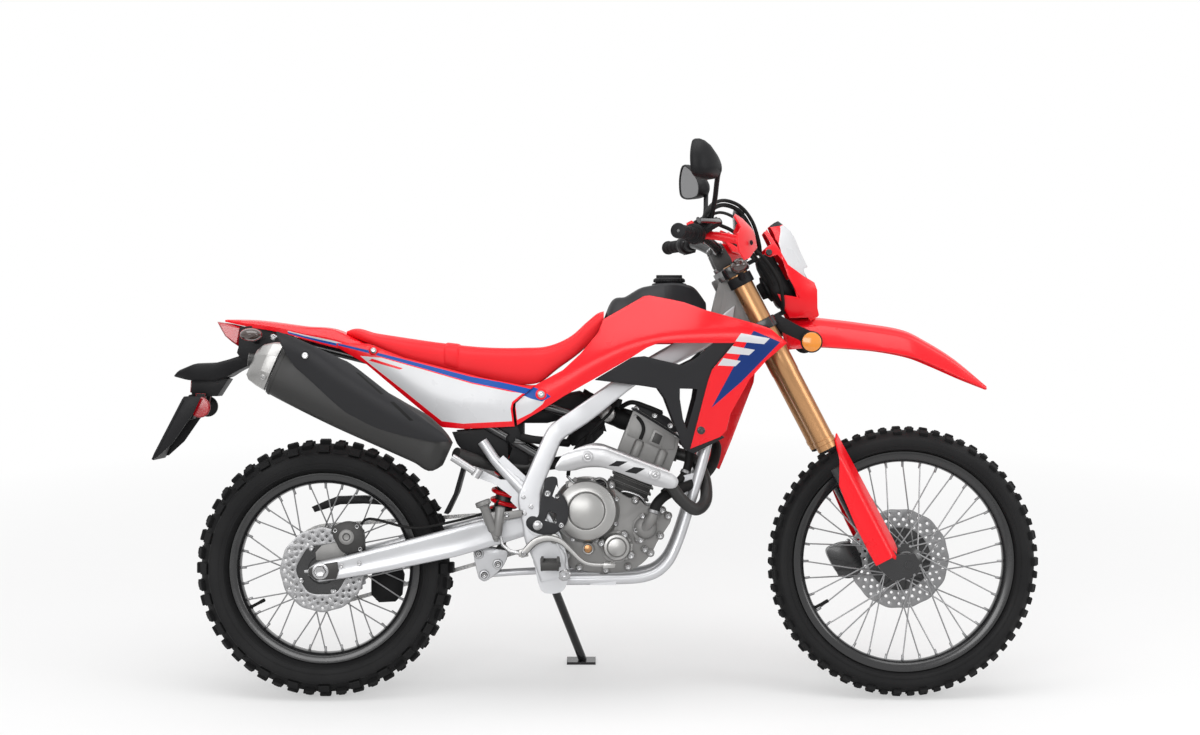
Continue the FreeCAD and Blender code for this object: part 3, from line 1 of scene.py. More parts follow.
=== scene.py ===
import json
from math import asin, atan2, cos, dist, pi, radians, sin

import bmesh
import bpy
import numpy as np
from mathutils import Matrix, Vector, geometry


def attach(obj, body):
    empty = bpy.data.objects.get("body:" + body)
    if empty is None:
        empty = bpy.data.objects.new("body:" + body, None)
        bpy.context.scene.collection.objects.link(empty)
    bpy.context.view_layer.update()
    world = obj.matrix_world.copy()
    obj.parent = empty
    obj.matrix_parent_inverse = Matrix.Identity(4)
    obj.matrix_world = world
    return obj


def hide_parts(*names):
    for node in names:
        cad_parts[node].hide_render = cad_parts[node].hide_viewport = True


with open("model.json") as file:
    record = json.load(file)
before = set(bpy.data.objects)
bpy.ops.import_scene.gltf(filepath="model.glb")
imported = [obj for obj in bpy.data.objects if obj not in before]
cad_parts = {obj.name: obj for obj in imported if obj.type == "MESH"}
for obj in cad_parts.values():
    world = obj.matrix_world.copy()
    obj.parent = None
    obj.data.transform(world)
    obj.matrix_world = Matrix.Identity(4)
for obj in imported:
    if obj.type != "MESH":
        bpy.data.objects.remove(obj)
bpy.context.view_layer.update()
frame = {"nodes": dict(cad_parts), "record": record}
nodes = frame["nodes"]
joints = {j["name"]: j for j in frame["record"]["behaviour"]["joints"]}
leanDeg, rakeDeg = 10, 27.5
lean = np.array(Matrix.Rotation(radians(-leanDeg), 3, "X"))
rake = np.array(Matrix.Rotation(radians(-rakeDeg), 3, "Y"))
rearAxle, frontAxle, headAt = np.array([0, 0, 325]), np.array([1455, 0, 341]), np.array([1043.95, 0, 980])
base = np.array(joints["rear_wheel_spin"]["pos_m"]) - lean @ (rearAxle / 1000)
toRight, toLeft, toFront, toBack = [0, -1, 0], [0, 1, 0], [1, 0, 0], [-1, 0, 0]
upward, downward = [0, 0, 1], [0, 0, -1]


def points(p):
    # Any list of coordinates as rows of three
    return np.asarray(p, float).reshape(-1, 3)


def bike(p):
    # The bike's own upright frame, in mm, into the row frame, in m: point / 1000 turned by the lean, plus the base
    return points(p) / 1000 @ lean.T + base


def steer(p):
    # From the steering head, turned by the rake
    return bike(points(p) @ rake.T + headAt)


def rearWheel(p):
    # From the rear axle
    return bike(points(p) + rearAxle)


def frontWheel(p):
    # From the front axle
    return bike(points(p) + frontAxle)


# Materials
def shaderNode(tree, kind):
    # One new node of a kind in a tree
    return tree.nodes.new("ShaderNode" + kind)


def tune(node, values):
    # Each named input takes its value
    for label, value in values.items():
        node.inputs[label].default_value = value


def wire(tree, *joins):
    # Each join is (from node, its output, to node, its input)
    for source, output, target, entry in joins:
        tree.links.new(source.outputs[output], target.inputs[entry])


# Broad unevenness and fine grain, both from one place so that every finish shares them
surfaceGroup = bpy.data.node_groups.new("Surface", "ShaderNodeTree")
surfaceGroup.interface.new_socket("Vector", in_out="INPUT", socket_type="NodeSocketVector")
for label, value in {"Grain scale": 900, "Grain": 0.2, "Broad scale": 9, "Rough low": 0.3, "Rough high": 0.4}.items():
    surfaceGroup.interface.new_socket(label, in_out="INPUT", socket_type="NodeSocketFloat").default_value = value
for label, kind in (("Broad", "Float"), ("Roughness", "Float"), ("Normal", "Vector")):
    surfaceGroup.interface.new_socket(label, in_out="OUTPUT", socket_type="NodeSocket" + kind)
gin, gout = surfaceGroup.nodes.new("NodeGroupInput"), surfaceGroup.nodes.new("NodeGroupOutput")
broad, fine, span, bump = (shaderNode(surfaceGroup, kind) for kind in ("TexNoise", "TexNoise", "MapRange", "Bump"))
tune(broad, {"Detail": 4})
tune(fine, {"Detail": 3})
tune(span, {"From Min": 0.35, "From Max": 0.65})
tune(bump, {"Distance": 0.0004})
wire(surfaceGroup, (gin, "Vector", broad, "Vector"), (gin, "Broad scale", broad, "Scale"),
    (gin, "Vector", fine, "Vector"), (gin, "Grain scale", fine, "Scale"), (broad, "Fac", span, "Value"),
    (gin, "Rough low", span, "To Min"), (gin, "Rough high", span, "To Max"), (fine, "Fac", bump, "Height"),
    (gin, "Grain", bump, "Strength"), (broad, "Fac", gout, "Broad"), (span, "Result", gout, "Roughness"),
    (bump, "Normal", gout, "Normal"))


def finish(name, color, rough, metallic=0, grain=0.15, grainScale=900, shade=0.9, stretch=(1, 1, 1), coat=0,
        specular=0.5, transmission=0):
    # Base colour runs from color * shade to color with the broad noise; roughness and normal come from the group
    mat = bpy.data.materials.new(name)
    mat.use_nodes = True
    tree = mat.node_tree
    shader = tree.nodes["Principled BSDF"]
    coords, mapping, surface, mix = (shaderNode(tree, kind) for kind in ("TexCoord", "Mapping", "Group", "Mix"))
    surface.node_tree = surfaceGroup
    mix.data_type = "RGBA"
    tune(mapping, {"Scale": stretch})
    tune(mix, {"A": (*[c * shade for c in color], 1), "B": (*color, 1)})
    tune(surface, {"Grain": grain, "Grain scale": grainScale, "Rough low": rough[0], "Rough high": rough[1]})
    wire(tree, (coords, "Object", mapping, "Vector"), (mapping, "Vector", surface, "Vector"),
        (surface, "Broad", mix, "Factor"), (mix, "Result", shader, "Base Color"),
        (surface, "Roughness", shader, "Roughness"), (surface, "Normal", shader, "Normal"))
    tune(shader, {"Metallic": metallic, "Coat Weight": coat, "Coat Roughness": 0.1, "Specular IOR Level": specular,
        "Transmission Weight": transmission})
    return mat


gloss = {"grain": 0.03, "grainScale": 300}
mats = {
    "red": finish("redPlastic", (0.83, 0.002, 0.01), (0.26, 0.34), shade=0.93, coat=0.12, specular=0.32, **gloss),
    "seat": finish("seatVinyl", (0.78, 0.011, 0.018), (0.5, 0.6), grain=0.5, grainScale=1500, shade=0.92,
        specular=0.3),
    "white": finish("whitePlastic", (0.6, 0.605, 0.62), (0.26, 0.36), shade=0.96, coat=0.15, **gloss),
    "blue": finish("blueStripe", (0.004, 0.075, 0.36), (0.3, 0.4), specular=0.2, **gloss),
    "navy": finish("navyStripe", (0.004, 0.03, 0.17), (0.3, 0.4), specular=0.2, **gloss),
    "black": finish("blackPlastic", (0.008, 0.008, 0.009), (0.42, 0.55), grain=0.3, grainScale=1400, shade=0.8,
        specular=0.18),
    "grey": finish("greyPlastic", (0.019, 0.019, 0.021), (0.4, 0.52), grain=0.3, grainScale=1200, shade=0.85,
        specular=0.2),
    "silver": finish("silverPaint", (0.52, 0.525, 0.54), (0.3, 0.4), 0.45, 0.08, 2500, 0.94, coat=0.2),
    "alloy": finish("alloy", (0.43, 0.43, 0.437), (0.28, 0.4), 0.8, 0.12, 1500, 0.88),
    "cast": finish("castMetal", (0.225, 0.222, 0.217), (0.4, 0.55), 0.5, 0.45, 1100, 0.82),
    "castDark": finish("castDark", (0.04, 0.039, 0.038), (0.4, 0.55), 0.5, 0.4, 1100, 0.8),
    "castBright": finish("castBright", (0.36, 0.356, 0.348), (0.26, 0.38), 0.75, 0.2, 1500, 0.9),
    "steel": finish("steel", (0.27, 0.27, 0.275), (0.32, 0.45), 0.9, 0.15, 1800, 0.85),
    "chrome": finish("boltSteel", (0.4, 0.4, 0.405), (0.2, 0.3), 0.95, 0.05, 1800, 0.9),
    "gold": finish("goldAnodised", (0.47, 0.25, 0.115), (0.26, 0.36), 0.85, 0.12, 500, 0.85, (1, 1, 0.15)),
    "blackPaint": finish("blackPaint", (0.012, 0.012, 0.013), (0.2, 0.3), 0.1, 0.05, 800, 0.8, coat=0.3),
    "blackPipe": finish("heatPaint", (0.015, 0.0145, 0.014), (0.42, 0.55), 0.1, 0.3, 1100, 0.75),
    "rubber": finish("rubber", (0.008, 0.008, 0.008), (0.6, 0.75), 0, 0.25, 1300, 0.8, specular=0.18),
    "tyre": finish("tyreRubber", (0.009, 0.009, 0.0095), (0.6, 0.78), 0, 0.35, 900, 0.75, specular=0.2),
    "amber": finish("amberLens", (0.8, 0.27, 0.02), (0.12, 0.2), 0, 0.3, 260, 0.85, coat=0.6),
    "redLens": finish("redLens", (0.42, 0.003, 0.01), (0.12, 0.2), 0, 0.35, 260, 0.8, coat=0.6),
    "redGlow": finish("redLensBright", (0.7, 0.006, 0.016), (0.12, 0.2), 0, 0.35, 260, 0.8, coat=0.6),
    "smoke": finish("smokedLens", (0.05, 0.03, 0.025), (0.1, 0.16), 0, 0.1, 260, 0.7, coat=0.8),
    "mirror": finish("mirrorGlass", (0.55, 0.55, 0.56), (0.03, 0.06), 1.0, grain=0.0, shade=0.96),
    "lens": finish("clearLens", (0.8, 0.82, 0.85), (0.05, 0.1), 0, 0.25, 200, 0.8, coat=0.6, transmission=0.6),
}
print("materials")


# Mesh helpers
bodyOf = {bike: "chassis", steer: "steering", rearWheel: "rear_wheel", frontWheel: "front_wheel"}


def newObject(name, data):
    # An object with its data, in the scene
    thing = bpy.data.objects.new(name, data)
    bpy.context.collection.objects.link(thing)
    return thing


def ridePiece(name, verts, faces, body, material, slotName, replaced=(), faceMats=None, sharp=38, bevel=None):
    # material is one name, or a list that faceMats picks from; edges over sharp degrees stay hard
    # bevel is (its width, the degrees over which an edge gets it)
    bm = bmesh.new()
    made = [bm.verts.new(v) for v in verts]
    for index, face in enumerate(faces):
        try:
            f = bm.faces.new([made[i] for i in face])
        except ValueError:
            continue
        if faceMats is not None:
            f.material_index = int(faceMats[index])
    bmesh.ops.recalc_face_normals(bm, faces=bm.faces)
    if bevel:
        edges = [e for e in bm.edges if len(e.link_faces) == 2 and e.calc_face_angle(0) > radians(bevel[1])]
        bmesh.ops.bevel(bm, geom=edges, offset=bevel[0] / 1000, segments=2, profile=0.5, affect="EDGES",
            clamp_overlap=True, loop_slide=True)
    for e in bm.edges:
        e.smooth = len(e.link_faces) != 2 or e.calc_face_angle(0) < radians(sharp)
    for f in bm.faces:
        f.smooth = True
    mesh = bpy.data.meshes.new(name)
    bm.to_mesh(mesh)
    bm.free()
    piece = newObject(name, mesh)
    for m in [material] if isinstance(material, str) else material:
        mesh.materials.append(mats[m])
    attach(piece, body)
    if replaced:
        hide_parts(*replaced)
    return piece


def circle(count):
    # Angles all round, the last one short of the first
    return np.arange(count) * 2 * pi / count


def unit(v):
    # Each direction over its own length
    return np.asarray(v, float) / np.linalg.norm(v, axis=-1, keepdims=True)


def columns(x, y, z):
    # Points from their three coordinates, each a list or one number for all
    return np.stack(np.broadcast_arrays(x, y, z), 1)


class Solid:
    # Gathers closed forms in one frame's mm, to become one piece
    def __init__(self, place=bike):
        self.place, self.verts, self.faces, self.marks, self.count = place, [], [], [], 0

    def add(self, verts, faces, mark=0):
        # Any form: its points, its faces as lists of their numbers, and its material's number
        verts = points(verts)
        self.verts.append(verts)
        self.faces += [[i + self.count for i in f] for f in faces]
        self.marks += [mark] * len(faces)
        self.count += len(verts)
        return self

    def mirror(self, parts=1):
        # The last forms again on the other side of the bike
        kept = self.verts[-parts:]
        total = sum(len(v) for v in kept)
        first = self.count - total
        picked = [(f, m) for f, m in zip(self.faces, self.marks) if min(f) >= first]
        self.verts += [v * [1, -1, 1] for v in kept]
        self.faces += [[i + total for i in f][::-1] for f, m in picked]
        self.marks += [m for f, m in picked]
        self.count += total
        return self

    def loft(self, rings, mark=0, caps=True):
        # Quads between each ring and the next, and the first and last ring closed
        n, last = len(rings[0]), len(rings) - 1
        here = np.arange(n)
        quads = np.stack([here, np.roll(here, -1), np.roll(here, -1) + n, here + n], 1)
        faces = (quads + n * np.arange(last)[:, None, None]).reshape(-1, 4).tolist()
        if caps:
            faces += [here[::-1].tolist(), (here + last * n).tolist()]
        return self.add(np.concatenate(rings), faces, mark)

    def prism(self, outline, near, far, mark=0, plane="xz"):
        # The outline in its plane, carried from near to far along the axis across it
        across = ("yz", "xz", "xy").index(plane)
        return self.loft([np.insert(np.asarray(outline, float), across, depth, 1) for depth in (near, far)], mark)

    def slab(self, low, high, near, far, mark=0):
        # A box from one corner (x, z) to the other
        (a, b), (c, d) = low, high
        return self.prism([(a, b), (c, b), (c, d), (a, d)], near, far, mark)

    def lathe(self, centre, axis, profile, count=48, mark=0):
        # Profile of (radius, along) pairs turned about the axis; a profile that ends where it starts is a ring
        axis = unit(axis)
        side = unit(np.cross(axis, upward if abs(axis[2]) < 0.9 else toFront))
        turn = circle(count)
        rim = np.outer(np.cos(turn), side) + np.outer(np.sin(turn), np.cross(axis, side))
        rings = [np.asarray(centre) + axis * h + r * rim for r, h in profile]
        return self.loft(rings, mark, profile[0] != profile[-1])

    def boss(self, centre, profile, count, mark=0, way=toRight):
        # A turned form with a flat end
        return self.lathe(centre, way, [*profile, (0.01, profile[-1][1])], count, mark)

    def tube(self, path, radius, count=12, mark=0, flat=1):
        # Round bar along a path, its rings turned on without twist; radius may be a list, flat squashes it
        path = np.asarray(path, float)
        radii = np.broadcast_to(np.asarray(radius, float), (len(path),))
        way = unit(np.gradient(path, axis=0))
        side = np.cross(way[0], toLeft if abs(way[0][1]) < 0.9 else toFront)
        rings, turn = [], circle(count)
        for p, w, r in zip(path, way, radii):
            side = unit(side - w * (side @ w))
            rings.append(p + r * (np.outer(np.cos(turn), side) + flat * np.outer(np.sin(turn), np.cross(w, side))))
        return self.loft(rings, mark)

    def bolt(self, centre, radius=6, height=5, mark=0, way=toRight, hollow=True):
        # Flanged head with a hexagon socket
        shape = ((1.25, 0), (1.25, 0.25), (1, 0.4), (1, 0.85), (0.85, 1)) + ((0.5, 1), (0.45, 0.45)) * hollow
        profile = [(radius * wide, height * tall) for wide, tall in shape]
        if not hollow:
            return self.boss(centre, profile, 16, mark, way)
        return self.lathe(centre, way, [*profile, (0.01, height * 0.4)], 16, mark)

    def piece(self, name, material, slotName, replaced=(), body=None, **more):
        # All the forms as one object, on its frame's body if no other is named
        marks = None if isinstance(material, str) else self.marks
        verts = self.place(np.concatenate(self.verts))
        return ridePiece(name, verts, self.faces, body or bodyOf[self.place], material, slotName, replaced, marks,
            **more)


def curve(points, count=40, closed=False):
    # Catmull-Rom line through the points
    p = np.asarray(points, float)
    p = np.vstack([p[-1], p, p[0], p[1]]) if closed else np.vstack([2 * p[0] - p[1], p, 2 * p[-1] - p[-2]])
    spans = len(p) - 3
    t = np.linspace(0, spans, count, endpoint=not closed)
    k = np.minimum(t.astype(int), spans - 1)
    u = (t - k)[:, None]
    a, b, c, d = (p[k + step] for step in range(4))
    return 0.5 * (2 * b + (c - a) * u + (2 * a - 5 * b + 4 * c - d) * u**2 + (3 * b - a - 3 * c + d) * u**3)


def scaled(line, size, middle):
    # A line made larger or smaller about a middle
    return middle + (np.asarray(line, float) - middle) * size


def inside(poly, pts):
    # A point is inside if a line along x from it crosses the outline an odd number of times
    poly, pts = np.asarray(poly, float), np.asarray(pts, float)
    hit = np.zeros(len(pts), bool)
    for (x1, z1), (x2, z2) in zip(poly, np.roll(poly, -1, 0)):
        crosses = (z1 > pts[:, 1]) != (z2 > pts[:, 1])
        with np.errstate(divide="ignore", invalid="ignore"):
            hit ^= crosses & (pts[:, 0] < (x2 - x1) * (pts[:, 1] - z1) / (z2 - z1) + x1)
    return hit


def dense(poly, step):
    # The outline with points no further apart than two steps
    poly = np.asarray(poly, float)
    out = []
    for a, b in zip(poly, np.roll(poly, -1, 0)):
        n = max(1, int(np.linalg.norm(b - a) / step))
        out += [a + (b - a) * k / n for k in range(n)]
    return np.array(out)


def lineGap(points, pts):
    # Distance to the nearest leg of a line, and how far along the line, in legs, that is
    gap, run = np.full(len(pts), 1e9), np.zeros(len(pts))
    for k, (a, b) in enumerate(zip(points, points[1:])):
        t = np.clip(((pts - a) @ (b - a)) / max((b - a) @ (b - a), 1e-9), 0, 1)
        away = np.linalg.norm(pts - (a + t[:, None] * (b - a)), axis=1)
        run = np.where(away < gap, k + t, run)
        gap = np.minimum(gap, away)
    return gap, run


def sheetMesh(outline, depth, wall, marks=(), holes=(), step=12):
    # A trimmed sheet over (a, b) with depth(a, b) across, wall thick inwards; marks are (outline, index) colour areas
    outline = dense(outline, step)
    loops = [outline] + [dense(m, step) for m, i in marks] + [dense(h, step) for h in holes]
    low, high = outline.min(0), outline.max(0)
    ax, az = np.meshgrid(np.arange(low[0], high[0], step), np.arange(low[1], high[1], step * 0.87), indexing="ij")
    ax = ax + (np.arange(ax.shape[1]) % 2) * step / 2
    grid = np.stack([ax.ravel(), az.ravel()], 1)
    grid = grid[inside(outline, grid)]
    for loop in loops:
        grid = grid[lineGap(np.vstack([loop, loop[:1]]), grid)[0] > step * 0.45]
    pts, edges = [], []
    for loop in loops:
        first = len(pts)
        pts += list(loop)
        edges += [(first + i, first + (i + 1) % len(loop)) for i in range(len(loop))]
    cdt = geometry.delaunay_2d_cdt([Vector(p) for p in pts + list(grid)], edges, [], 0, 1e-3)
    flat = np.array([tuple(v) for v in cdt[0]])
    tris = np.array([f for f in cdt[2] if len(f) == 3])
    middle = flat[tris].mean(1)
    keep = inside(outline, middle)
    for hole in holes:
        keep &= ~inside(hole, middle)
    tris, middle = tris[keep], middle[keep]
    color = np.zeros(len(tris), int)
    for m, index in marks:
        color[inside(m, middle)] = index
    used, packed = np.unique(tris, return_inverse=True)
    flat, tris = flat[used], packed.reshape(tris.shape)
    out = depth(flat)
    # The normal is the cross product of the two slopes over one mm
    normal = unit(np.cross(depth(flat + [0.5, 0]) - depth(flat - [0.5, 0]), depth(flat + [0, 0.5])
        - depth(flat - [0, 0.5])))
    n = len(flat)
    legs = np.concatenate([tris[:, [0, 1]], tris[:, [1, 2]], tris[:, [2, 0]]])
    rim = legs[~np.isin(legs @ [n, 1], legs @ [1, n])]
    sides = np.stack([rim[:, 1], rim[:, 0], rim[:, 0] + n, rim[:, 1] + n], 1)
    faces = [*tris.tolist(), *(tris[:, ::-1] + n).tolist(), *sides.tolist()]
    return np.vstack([out, out - normal * wall]), faces, [*color, *[0] * (len(faces) - len(tris))]


def soft(t, width):
    # The positive part of t, its corner rounded over a width: width * log(1 + exp(t / width))
    return width * np.logaddexp(0, t / width)


def lineOf(knots, smooth=True):
    # Value along x through knots: straight legs, or cubic ones with each knot's own slope
    xs, vs = np.array(knots, float).T
    if not smooth:
        return lambda x: np.interp(x, xs, vs)
    slopes = np.gradient(vs, xs)

    def value(x):
        # Hermite cubic between the knots on both sides
        x = np.clip(x, xs[0], xs[-1])
        k = np.clip(np.searchsorted(xs, x) - 1, 0, len(xs) - 2)
        h = xs[k + 1] - xs[k]
        u = (x - xs[k]) / h
        ahead, bend = 3 * u**2 - 2 * u**3, u**3 - u**2
        return (1 - ahead) * vs[k] + (bend - u**2 + u) * h * slopes[k] + ahead * vs[k + 1] + bend * h * slopes[k + 1]

    return value


def ridge(width, crest, up, down, inset=0, sharp=7):
    # Flank of a panel: its half width at a crest line, falling away above and below it
    def depth(p):
        # y = width - inset - up * height over the crest - down * depth under it
        x, z = p[:, 0], p[:, 1]
        c = crest(x)
        y = width(x) - inset - up(x) * soft(z - c, sharp) - down(x) * soft(c - z, sharp)
        return columns(x, -y, z)

    return depth


print("helpers")

# Wheels: tread profile and knobs, rim and spokes, hub and the flanges that carry disc and sprocket.
# A knob is (from degrees, to degrees, length, lead, tip), each row takes the next list in turn
wheelKnobs = {
    "rear": {"place": rearWheel, "outer": 325, "seat": 228.5, "rimHalf": 27.3, "half": 60, "rows": 48,
        "knobHeight": 12, "casing": 56,
        "knobs": [[(2, 18, 27, 0, 0), (38, 60, 31, 0, -0.5)], [(-10, 10, 17, 0, -1), (21, 38, 28, 4, -0.5)]],
        "spokes": 32, "hub": 30, "flange": 52, "reach": 212, "carriers": [(-1, 68, 4), (1, 68, 6)]},
    "front": {"place": frontWheel, "outer": 341, "seat": 266.7, "rimHalf": 20.3, "half": 43, "rows": 62,
        "knobHeight": 10, "casing": 34,
        "knobs": [[(2, 13, 20, 0, 0), (25, 38, 22, 0, -0.3)], [(-6, 6, 13, 0, -0.6), (15, 25, 18, 2, -0.3)]],
        "spokes": 36, "hub": 24, "flange": 42, "reach": 250, "carriers": [(1, 80, 6)]},
}
crownRadius, flangeGap, rimWall, rimWell = 62, 27, 4.5, 11
wheelMiddle = [0, 0, 0]
cornerFaces = [[a * 4 + i, a * 4 + (i + 1) % 4, a * 4 + 4 + (i + 1) % 4, a * 4 + 4 + i] for a in (0, 1)
    for i in range(4)]
blockFaces = [[3, 2, 1, 0], [8, 9, 10, 11]] + cornerFaces


def bothSides(right):
    # A closed profile from its right half, which starts on the middle plane
    return right + [(r, -y) for r, y in reversed(right)][:-1] + right[:1]


def tyrePiece(end, size):
    # Crown arc, then the side wall down to the bead; knobs stand on rows round the crown
    s = Solid(size["place"])
    outer, seat, rimHalf = size["outer"], size["seat"], size["rimHalf"]
    tall, centre, casing = outer - seat, outer - crownRadius, crownRadius - size["knobHeight"]
    crown = [(centre + casing * cos(a), casing * sin(a))
        for a in np.radians(np.linspace(0, size["casing"], 7))]
    side = [crown[-1]] + [(seat + tall * up, size["half"] * wide) for up, wide in ((0.6, 0.94), (0.46, 0.975),
        (0.3, 0.93), (0.2, 0.8))]
    bead = [(seat + 11.5, rimHalf - 1), (seat + 0.5, rimHalf - 1)]
    wall = [(r, y) for r, y in curve(side + [(seat + 13, rimHalf + 4.5)], 16)] + bead
    s.lathe(wheelMiddle, toLeft, bothSides(crown[:-1] + wall), 144)
    # A knob has three rings of four corners: its foot, the edge of its tip and the tip drawn in
    far, ahead, shrink = np.tile([0, 1, 1, 0], 3), np.tile([-1, -1, 1, 1], 3), np.repeat([0, 0.35, 1.7], 4)
    for row in range(size["rows"]):
        for low, high, length, lead, tip in size["knobs"][row % 2]:
            rho = np.repeat([casing - 3, crownRadius + tip - 1.6, crownRadius + tip], 4)
            phi = np.radians(low + (high - low) * far) - (2 * far - 1) * shrink / rho
            turn = 2 * pi * row / size["rows"] + (ahead * (length / 2 - shrink) + lead * far) / outer
            for flip in (1, -1) if low >= 0 else (1,):
                r = centre + rho * np.cos(phi)
                s.add(columns(r * np.cos(turn), flip * rho * np.sin(phi), r * np.sin(turn)), blockFaces)
    for up, proud in ((0.36, 0.9), (0.24, 0.8)):
        r = seat + tall * up
        y = np.interp(r, *np.array(wall[::-1]).T)
        for flip in (1, -1):
            low, top = flip * (y - 2), flip * (y + proud)
            s.lathe(wheelMiddle, toLeft, [(r - 1.2, low), (r - 0.8, top), (r + 0.8, top), (r + 1.2, low),
                (r - 1.2, low)], 144)
    s.piece(end + "Tyre", "tyre", "tyre", [end + "_tyre"], sharp=34)


def rimPiece(end, size):
    # The rim's section round the wheel, a nipple for each spoke and the valve
    s = Solid(size["place"])
    seat, half, reach = size["seat"], size["rimHalf"], size["seat"] - rimWell - rimWall
    inner = [(reach - 1, 0), (reach, 12), (seat - 12, half - 2), (seat - 4, half + 4.2)]
    outer = [(seat + 10, half + 4.2), (seat + 10.6, half + 2.2), (seat + 10, half + 0.3), (seat, half),
        (seat - 3, half - 6), (seat - rimWell, 9)]
    loop = inner + outer + [(r, -y) for r, y in reversed(outer)] + [(r, -y) for r, y in reversed(inner[1:])]
    s.lathe(wheelMiddle, toLeft, loop + loop[:1], 160)
    for k, a in enumerate(circle(size["spokes"])):
        side = 1 if k % 2 else -1
        way = np.array([cos(a), side * 0.06, sin(a)])
        s.boss(way * [reach, 4 / 0.06, reach], [(5.2, -4), (5.2, 0.8), (3.4, 1.6), (3.1, 13), (2.4, 14)], 8, 1, -way)
    a = radians(208)
    stem = np.array([cos(a), 0, sin(a)])
    s.boss(stem * (reach + 1), [(6.5, 0), (6.5, 3), (4, 4), (4, 26), (4.6, 26), (4.6, 38), (3.6, 40)], 16, 2, -stem)
    s.piece(end + "Rim", ["blackPaint", "steel", "rubber"], "rim_black", [end + "_rim"], sharp=40)


def hubPiece(end, size):
    # Barrel with its spoke flanges, carriers with their bolts, and spokes crossing in pairs
    s = Solid(size["place"])
    hub, flange, gap, reach = size["hub"], size["flange"], flangeGap, size["reach"]
    barrel = hub + 6
    core = [(10.1, 80), (barrel - 3, 80), (barrel, 77), (barrel, gap + 8), (flange - 2, gap + 4),
        (flange + 3, gap + 2), (flange + 4, gap), (flange + 3, gap - 2), (flange - 4, gap - 4), (hub + 3, gap - 10),
        (hub, 0)]
    s.lathe(wheelMiddle, toLeft, core + [(r, -y) for r, y in reversed(core[:-1])] + core[:1], 72)
    for side, outer, count in size["carriers"]:
        ring = [(barrel - 2, side * 60), (outer, side * 66.2), (outer, side * 71.6), (barrel - 2, side * 71.6)]
        s.lathe(wheelMiddle, toLeft, ring + ring[:1], 72)
        for a in circle(count) + 0.6 * pi / count:
            s.bolt([cos(a) * (outer - 8), side * 75, sin(a) * (outer - 8)], 5.5, 6, 2, way=[0, side, 0])
    for k, a in enumerate(circle(size["spokes"])):
        side, lead = (1 if k % 2 else -1), (1 if k // 2 % 2 else -1)
        b = a + lead * radians(48)
        start = np.array([cos(b) * (flange - 1), side * (gap + lead * 2.2), sin(b) * (flange - 1)])
        nipple = np.array([cos(a) * reach, side * 4, sin(a) * reach])
        way = unit(nipple - start)
        s.tube([start - way * 3 - [0, side * lead * 4, 0], start, start + way * 8, nipple],
            [2.2, 2.1, 1.9, 1.7], 8, 1)
        s.lathe(start, [0, side * lead, 0], [(0.01, 0), (3.6, 0), (3.6, 2.4), (0.01, 3.2)], 10, 1)
    s.piece(end + "Hub", ["blackPaint", "steel", "chrome"], "rim_black", [end + "_hub"], sharp=35)


for make in (tyrePiece, rimPiece, hubPiece):
    for end, size in wheelKnobs.items():
        make(end, size)
print("wheels")


# Plastics: each panel follows its flank, trimmed to the outline seen from the side
def panelPiece(name, parts, material, slotName, replaced, place=bike, bevel=1.2):
    # One or more sheets as one piece
    verts, faces, marks, count = [], [], [], 0
    for v, f, m in parts:
        verts.append(v)
        faces += [[i + count for i in face] for face in f]
        marks += list(m)
        count += len(v)
    ridePiece(name, place(np.vstack(verts)), faces, bodyOf[place], material, slotName, replaced, marks, 40,
        (bevel, 60))


def leftOf(part):
    # The same sheet on the bike's left: y becomes -y
    v, f, m = part
    return v * [1, -1, 1], [face[::-1] for face in f], m


shroudWidth = lineOf([(520, 108), (640, 133), (760, 160), (880, 180), (1000, 192), (1160, 205)])
shroudCrest = lineOf([(520, 750), (600, 796), (680, 846), (760, 884), (840, 904), (940, 912), (1060, 912),
    (1160, 900)])
shroudUp = lineOf([(520, 0.2), (640, 0.36), (760, 0.62), (880, 0.66), (1000, 0.56), (1160, 0.3)])
shroudDown = lineOf([(520, 0.1), (760, 0.2), (900, 0.24), (1000, 0.2), (1160, 0.1)])
shroudFlank = ridge(shroudWidth, shroudCrest, shroudUp, shroudDown, 0, 6)
shroudOutline = [
    (545, 722), (600, 757), (679, 802), (771, 855), (807, 878), (835, 889), (1021, 889), (966, 823), (957, 797),
    (915, 628), (988, 658), (1002, 673), (1012, 715), (1058, 800), (1098, 846), (1148, 889), (1108, 924), (1076, 935),
    (1020, 951), (952, 970), (899, 990), (864, 998), (814, 1008), (800, 1006), (757, 981), (704, 951), (699, 947),
    (686, 914), (668, 893), (644, 864), (600, 823), (535, 788), (483, 741), (481, 727), (486, 686), (520, 708),
]
blueSlash = [(1067, 919), (1131, 891), (1037, 793), (966, 730), (1057, 904)]
whiteBars = [[(1036, 913), (1106, 900), (1092, 886), (1022, 893)], [(1014, 882), (1070, 872), (1056, 859),
    (1001, 864)], [(993, 852), (1036, 845), (1023, 832), (980, 834)]]
coverWhite = [(486, 699), (520, 716), (549, 738), (556, 750), (520, 766), (483, 772), (481, 741)]
blueTip = [(483, 795), (520, 783), (552, 771), (570, 757), (548, 745), (520, 752), (483, 768)]
shroudMarks = [(coverWhite, 1), (blueTip, 2), (blueSlash, 3)] + [(bar, 1) for bar in whiteBars]
shroudRight = sheetMesh(shroudOutline, shroudFlank, 4, shroudMarks, step=11)
leftOutline = shroudOutline[:8] + [(957, 797), (915, 628), (930, 600), (998, 567), (1030, 640), (1060, 715),
    (1090, 790)] + shroudOutline[14:]
shroudLeft = leftOf(sheetMesh(leftOutline, shroudFlank, 4, shroudMarks, step=11))
panelPiece("shroudPanels", [shroudRight, shroudLeft], ["red", "white", "blue", "navy"], "red_plastic", ["shrouds"])

